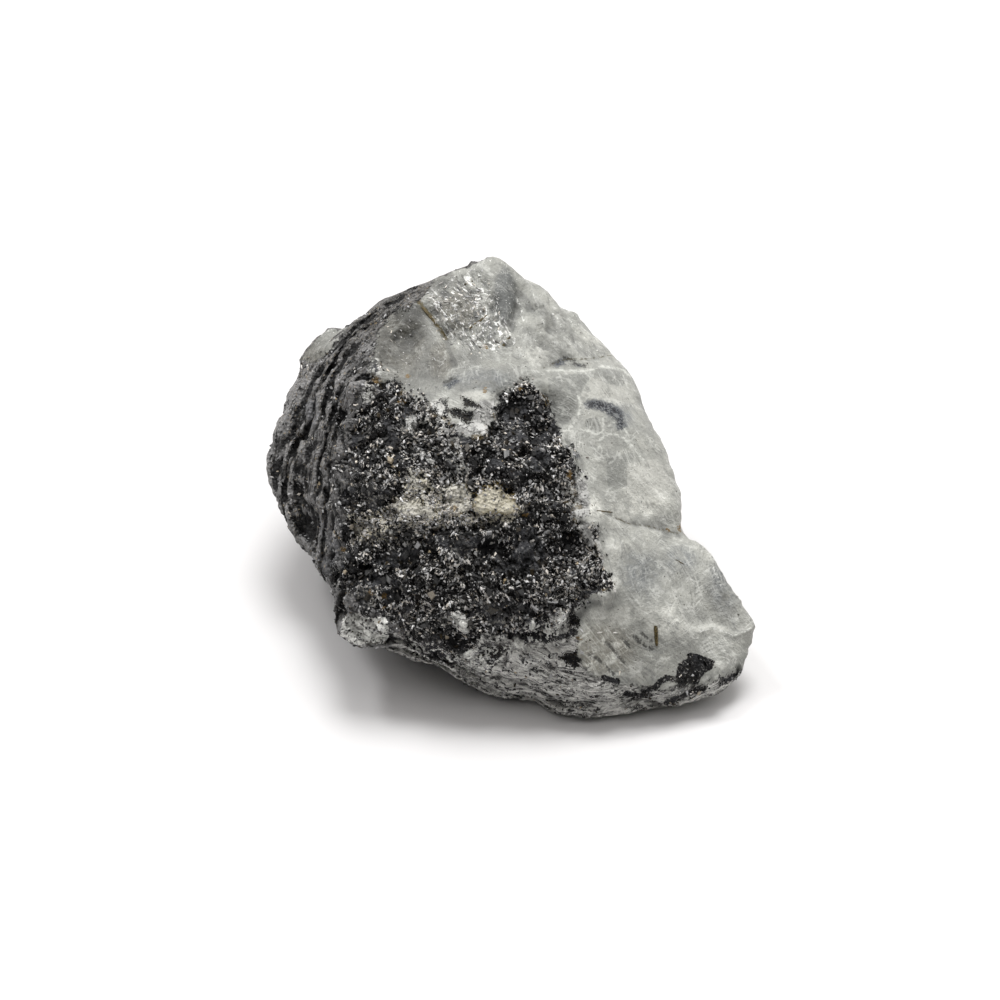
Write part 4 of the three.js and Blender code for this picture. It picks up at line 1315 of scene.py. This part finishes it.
# ---- Loose grain ----
FLAKE_TURN = math.radians(-58)  # how the long crystals lie on the face, on the whole
FLAKE_WANDER = 1.5  # and how far they turn from that, in radians
CORNERS = 4  # of a crystal's top
TOP_WIDTH = 0.9  # beside the crystal's own width
FOOT_WIDTH = 1.1
LEAST_WEIGHT = 1e-6  # keeps a weight above nothing
NEEDLE_RINGS = (  # [share of the way, swelling] of each ring of corners along a needle
    (-0.02, 0.75), (0.15, 1.0), (0.55, 0.9), (0.9, 0.75), (1.02, 0.5),
)
NEEDLE_CORNERS = ((-1, 0.05), (-0.4, 0.9), (0.45, 0.85), (1, 0.05))  # [beside, out] in half widths


def scattered(points, triangles, normals, weight, count, random):
    """Random places on the surface, as many as weight and area give each triangle."""
    a, b, c = points[triangles].transpose(1, 0, 2)
    area = np.linalg.norm(np.cross(b - a, c - a), axis=1)
    chance = area * weight[triangles].mean(axis=1)
    picked = random.choice(len(triangles), count, p=chance / chance.sum())
    share = random.random((count, 2))
    over = share.sum(axis=1) > 1
    share[over] = 1 - share[over]
    u, v = share.T[:, :, None]
    at = a[picked] + u * (b - a)[picked] + v * (c - a)[picked]
    outward = unit(normals[triangles[picked]].mean(axis=1))
    return at, outward


def grain_way(at):
    """The way the long crystals lie, which turns from place to place."""
    turn = FLAKE_TURN + FLAKE_WANDER * rough(at, 5, SEED + 60, 2)
    return np.cos(turn)[:, None] * ACROSS + np.sin(turn)[:, None] * UP_FACE


def grains(at, outward, size, thick, tilt, random, longer):
    """Points and faces of a flat crystal at each place: its top, and sides that widen downwards."""
    count = len(at)
    lean = unit(outward + tilt[:, None] * random.normal(size=(count, 3)))
    side = unit(np.cross(lean, np.cross(grain_way(at) + 0.4 * random.normal(size=(count, 3)), lean)))
    other = np.cross(lean, side)
    turn = (np.arange(CORNERS) + 0.7 * (random.random((count, CORNERS)) - 0.5)) / CORNERS * math.tau
    reach = 0.5 * size[:, None] * (0.7 + 0.6 * random.random((count, CORNERS)))
    ring = (longer * reach * np.cos(turn))[:, :, None] * side[:, None]
    ring = ring + (reach / longer * np.sin(turn))[:, :, None] * other[:, None]
    half_thick = (0.5 * thick)[:, None, None] * lean[:, None]
    top = at[:, None] + ring * TOP_WIDTH + half_thick
    foot = at[:, None] + ring * FOOT_WIDTH - half_thick
    points = np.concatenate([top, foot], axis=1).reshape(-1, 3)
    start = np.arange(count)[:, None] * (2 * CORNERS)
    faces = [start + [0, i, i + 1] for i in range(1, CORNERS - 1)]
    for i in range(CORNERS):
        j = (i + 1) % CORNERS
        faces.append(start + [i, i + CORNERS, j])
        faces.append(start + [j, i + CORNERS, j + CORNERS])
    return points, np.concatenate(faces)


class Skin:
    """The carved skin of the stone, and what is scattered over it."""

    def __init__(self, points, triangles, normals, random):
        self.points = points
        self.triangles = triangles
        self.normals = normals
        self.random = random

    def lay(self, name, material, count, size, weight, tone, warm, spread, thick, sunk, tilt, longer=1.15):
        """One piece of many crystals. tone and warm work out each crystal's from where it lies."""
        random = self.random
        at, outward = scattered(self.points, self.triangles, self.normals, weight, count, random)
        across = size * np.exp(spread * np.clip(random.normal(size=count), -2, 1.6))
        at = at + outward * (across * (0.3 * np.clip(random.normal(size=count), -2, 1) - sunk))[:, None]
        lean = tilt * (0.15 + random.random(count))
        points, faces = grains(at, outward, across, across * thick, lean, random, longer)
        points[:, 2] = np.maximum(points[:, 2], GRAIN_FOOT)
        fields = {"tone": np.repeat(tone(at), 2 * CORNERS), "warm": np.repeat(warm(at), 2 * CORNERS)}
        piece_of(name, points, faces, material, fields, smooth=False)


def needles_piece(skin, zones):
    """Slender brown crystals, each lying on the skin between its two places."""
    front = np.flatnonzero(zones["facing"] > 0.1)
    around = len(NEEDLE_CORNERS)
    points = []
    faces = []
    for start, end, width in NEEDLES:
        ends = []
        for place in (start, end):
            off = np.linalg.norm(zones["at"][front] - place, axis=1)
            ends.append(skin.points[front[np.argmin(off)]])
        beside = unit(np.cross(unit(ends[1] - ends[0]), OUT_OF_FACE))
        first = len(points)
        last = first + around * (len(NEEDLE_RINGS) - 1)
        for share, swell in NEEDLE_RINGS:
            for side, out in NEEDLE_CORNERS:
                away = 0.5 * width * swell * (side * beside + out * OUT_OF_FACE)
                points.append(blend(ends[0], ends[1], share) + away)
        for ring in range(first, last, around):
            for corner in range(around):
                a = ring + corner
                b = ring + (corner + 1) % around
                faces += [[a, b, b + around], [a, b + around, a + around]]
        faces += [[first, first + 2, first + 1], [first, first + 3, first + 2]]
        faces += [[last, last + 1, last + 2], [last, last + 2, last + 3]]
    s = Shader("amphibole")
    streaks = s.noise(s.place, 0.12, 3, 0.6)
    s.set(Base_Color=s.mix((0.02, 0.016, 0.006), (0.16, 0.12, 0.045), streaks.ramp(0.4, 0.62)), Roughness=0.4)
    piece_of("amphibole_needles", np.array(points), np.array(faces), s.material, smooth=False)


# ---- The stone ----
random = np.random.default_rng(SEED)
points, triangles = skin_of("labradorite_rock")
normals = normals_of(points, triangles)
points = carved(points, normals, zones_at(points, normals))
normals = normals_of(points, triangles)
zones = zones_at(points, normals)
fields = fields_of(points, triangles, normals, zones)
rock = piece_of("rock_skin", points, triangles, rock_material(), fields)
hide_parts("labradorite_rock")
skin = Skin(points, triangles, normals, random)
mica = grain_material("mica", 0.25, 0.08)
feldspar = grain_material("feldspar", 0.3, 0.2)


def seldom(count, share):
    """True for this share of so many crystals."""
    return random.random(count) < share


def mica_tone(at):
    """Mostly black, with light flakes in clumps as painted glints."""
    clump = ramp(rough(at, 1.5, SEED + 50, 3), -0.1, 0.8)
    painted_glint = seldom(len(at), 0.03 + 0.2 * clump)
    dark = 0.004 * np.exp(0.7 * random.normal(size=len(at)))
    return np.where(painted_glint, 0.1 + 0.7 * random.random(len(at)) ** 1.2, dark)


# a light tone on the black mica, as painted glints
def painted_glint_tone(at):
    return 0.3 + 0.7 * random.random(len(at)) ** 0.8


def book_tone(at):
    """Larger mica, dark grey where it broke flat."""
    return np.where(seldom(len(at), 0.1), 0.3, 0.012 + 0.05 * random.random(len(at)))


def sometimes_brown(at):
    return np.where(seldom(len(at), 0.2), random.random(len(at)), 0)


def feldspar_tone(at):
    return 0.14 + 0.5 * random.random(len(at)) ** 1.4


def a_little_warm(at):
    return 0.4 * random.random(len(at)) ** 2


# mostly light chips, their tone partly painted glints on the cleavage steps
def chip_tone(at):
    return np.where(seldom(len(at), 0.88), 0.4 + 0.55 * random.random(len(at)), 0.12)


# a share of light flakes, partly painted glints on the schist
def flake_tone(at):
    return np.where(seldom(len(at), 0.35), 0.2 + 0.4 * random.random(len(at)), 0.04)


# How much of the grain is feldspar: most where the rock is pale, weathered or gritty.
clumps = rough(points, 1.3, SEED + 40, 3)
on_cluster = ramp(fields["cluster"], -0.2, 0.2)
solid_pale = np.max([fields[name] for name in ("white", "cream", "pale_flake", "dark_bits")], axis=0)
whitened = ramp(solid_pale, -0.2, 0.3)
pale_shares = [
    0.03 + 0.16 * ramp(clumps, 0.1, 0.9),
    0.62 * ramp(fields["beige"], -0.4, 0.6),
    0.35 * ramp(fields["crust"], 0.5, -0.5) * ramp(fields["pale"], -1, 0.5),
    0.4 * ramp(fields["mottled"] + 0.5 * clumps, -0.5, 0.5),
    0.32 * ramp(fields["gritty"], 0.05, 0.6),
    0.9 * whitened,
]
pale_share = np.max(pale_shares, axis=0) * (1 - 0.8 * on_cluster)

# Grain covers the black crust in clumps. It thins out past the crust's edge and to the left, towards
# the satin flank, and is sparse on bare planes and on solid pieces.
cover = ramp(fields["crust"] + 0.9 * clumps, -0.9, 1.1)
cover = cover * (1 - 0.85 * ramp(fields["bare"], 0.05, 0.5)) * (1 - 0.92 * whitened)
cover = cover * ramp(zones["at"][:, 0] + 2 * clumps, -18.5, -11) * ramp(zones["at"][:, 1], 19, 16)
cover = np.max([cover, 0.25 * ramp(fields["cluster"], -0.1, 0.3), np.full(len(cover), LEAST_WEIGHT)], axis=0)

# where the painted glint mica lies thickest
glinting = 0.05 + ramp(rough(points, 1.9, SEED + 44, 3), -0.08, 0.55)
glinting = glinting * (1 - 0.7 * on_cluster) * (1 - 0.5 * pale_share)
on_sparkly = fields["sparkly"] + 0.12 * ramp(fields["greyish"], 0.1, 0.6) + LEAST_WEIGHT
in_crust = ramp(fields["crust"], 0.4, 1.2) * (1 - whitened) * (1 - ramp(fields["beige"], -0.4, 0.3))
in_crust = in_crust + LEAST_WEIGHT
on_schist = ramp(fields["crust"], 0.5, -0.5) * ramp(fields["pale"], 0.6, -0.3)
on_schist = on_schist * ramp(rough(points, 1.1, SEED + 42, 2), -0.3, 0.6) + LEAST_WEIGHT

# Each has its name, material, number of crystals, their size in mm, how densely they lie in each
# place, their tone and warmth.
skin.lay("mica_crystals", mica, 19500, 0.2, cover * (1 - pale_share), mica_tone, sometimes_brown,
         spread=0.4, thick=0.55, sunk=0.12, tilt=0.8, longer=1.25)
skin.lay("painted_glint_mica", mica, 7500, 0.17, cover * glinting, painted_glint_tone, a_little_warm,
         spread=0.5, thick=0.4, sunk=0.05, tilt=0.9, longer=1.55)
skin.lay("feldspar_grains", feldspar, 8000, 0.17, cover * pale_share, feldspar_tone, a_little_warm,
         spread=0.4, thick=0.6, sunk=0.15, tilt=0.6)
skin.lay("mica_books", mica, 1100, 0.5, in_crust, book_tone, sometimes_brown,
         spread=0.35, thick=0.25, sunk=0.05, tilt=0.5)
skin.lay("cleavage_chips", feldspar, 1300, 0.18, on_sparkly, chip_tone, a_little_warm,
         spread=0.45, thick=0.25, sunk=0.25, tilt=0.35, longer=1.9)
skin.lay("schist_flakes", mica, 9000, 0.2, on_schist, flake_tone, sometimes_brown,
         spread=0.4, thick=0.3, sunk=0.12, tilt=0.28, longer=1.3)
needles_piece(skin, zones)


# ---- Floor, light and camera ----
FLOOR_REACH = 3.0  # from the middle to each side, metres
OVERHEAD = (0.02, 0.55, 0.84)  # towards the brightest part of the light tent
TENT_LIGHT = (0.02, 1.04)  # how strong the tent is at its darkest and at its brightest
TENT_COLOUR = (1.0, 0.975, 0.965)
TENT_BRIGHT = 0.9  # it is at its brightest where the cosine of the angle to OVERHEAD is this


def floor_piece():
    far = FLOOR_REACH
    mesh = bpy.data.meshes.new("floor")
    mesh.from_pydata([(-far, -far, 0), (far, -far, 0), (far, far, 0), (-far, far, 0)], [], [(0, 1, 2, 3)])
    s = Shader("white_paper")
    s.set(Base_Color=(0.77, 0.765, 0.765), Roughness=0.9)
    mesh.materials.append(s.material)
    made = placed("floor", mesh)


def looking_back(towards):
    """The turn of a light or camera that stands towards there and looks at the stone."""
    return (-Vector(towards)).to_track_quat("-Z", "Y").to_euler()


def sun(name, towards, strength, width):
    """A sun that stands towards there and is this many degrees wide."""
    light = bpy.data.lights.new(name, "SUN")
    light.energy = strength
    light.angle = math.radians(width)
    placed(name, light).rotation_euler = looking_back(towards)


def studio():
    """White paper in a light tent: bright overhead and behind, dim low down."""
    floor_piece()
    world = bpy.data.worlds.new("studio")
    world.use_nodes = True
    nodes = world.node_tree.nodes
    links = world.node_tree.links
    split = nodes.new("ShaderNodeVectorMath")
    split.operation = "DOT_PRODUCT"
    split.inputs[1].default_value = OVERHEAD
    links.new(nodes.new("ShaderNodeTexCoord").outputs["Generated"], split.inputs[0])
    overhead = nodes.new("ShaderNodeMapRange")
    overhead.interpolation_type = "SMOOTHSTEP"
    links.new(split.outputs["Value"], overhead.inputs[0])
    for socket, number in zip(list(overhead.inputs)[1:5], (0.0, TENT_BRIGHT, *TENT_LIGHT)):
        socket.default_value = number
    nodes["Background"].inputs["Color"].default_value = (*TENT_COLOUR, 1)
    links.new(overhead.outputs[0], nodes["Background"].inputs["Strength"])
    bpy.context.scene.world = world
    sun("key", (0.08, 0.42, 1.0), 2.2, 28)
    sun("spark", (-0.5, 0.4, 0.9), 0.7, 12)


def camera():
    lens = bpy.data.cameras.new("camera")
    lens.sensor_width = 36.0
    lens.lens = lens.sensor_width * EYE_DISTANCE / VIEW_WIDTH
    lens.clip_start = 0.01
    lens.clip_end = 10
    made = placed("camera", lens)
    made.location = Vector((FACE_ORIGIN + OUT_OF_FACE * EYE_DISTANCE) * MM)
    made.rotation_euler = looking_back(OUT_OF_FACE)
    bpy.context.scene.camera = made


studio()
camera()
bpy.context.scene.view_settings.view_transform = "Standard"

bpy.context.view_layer.update()
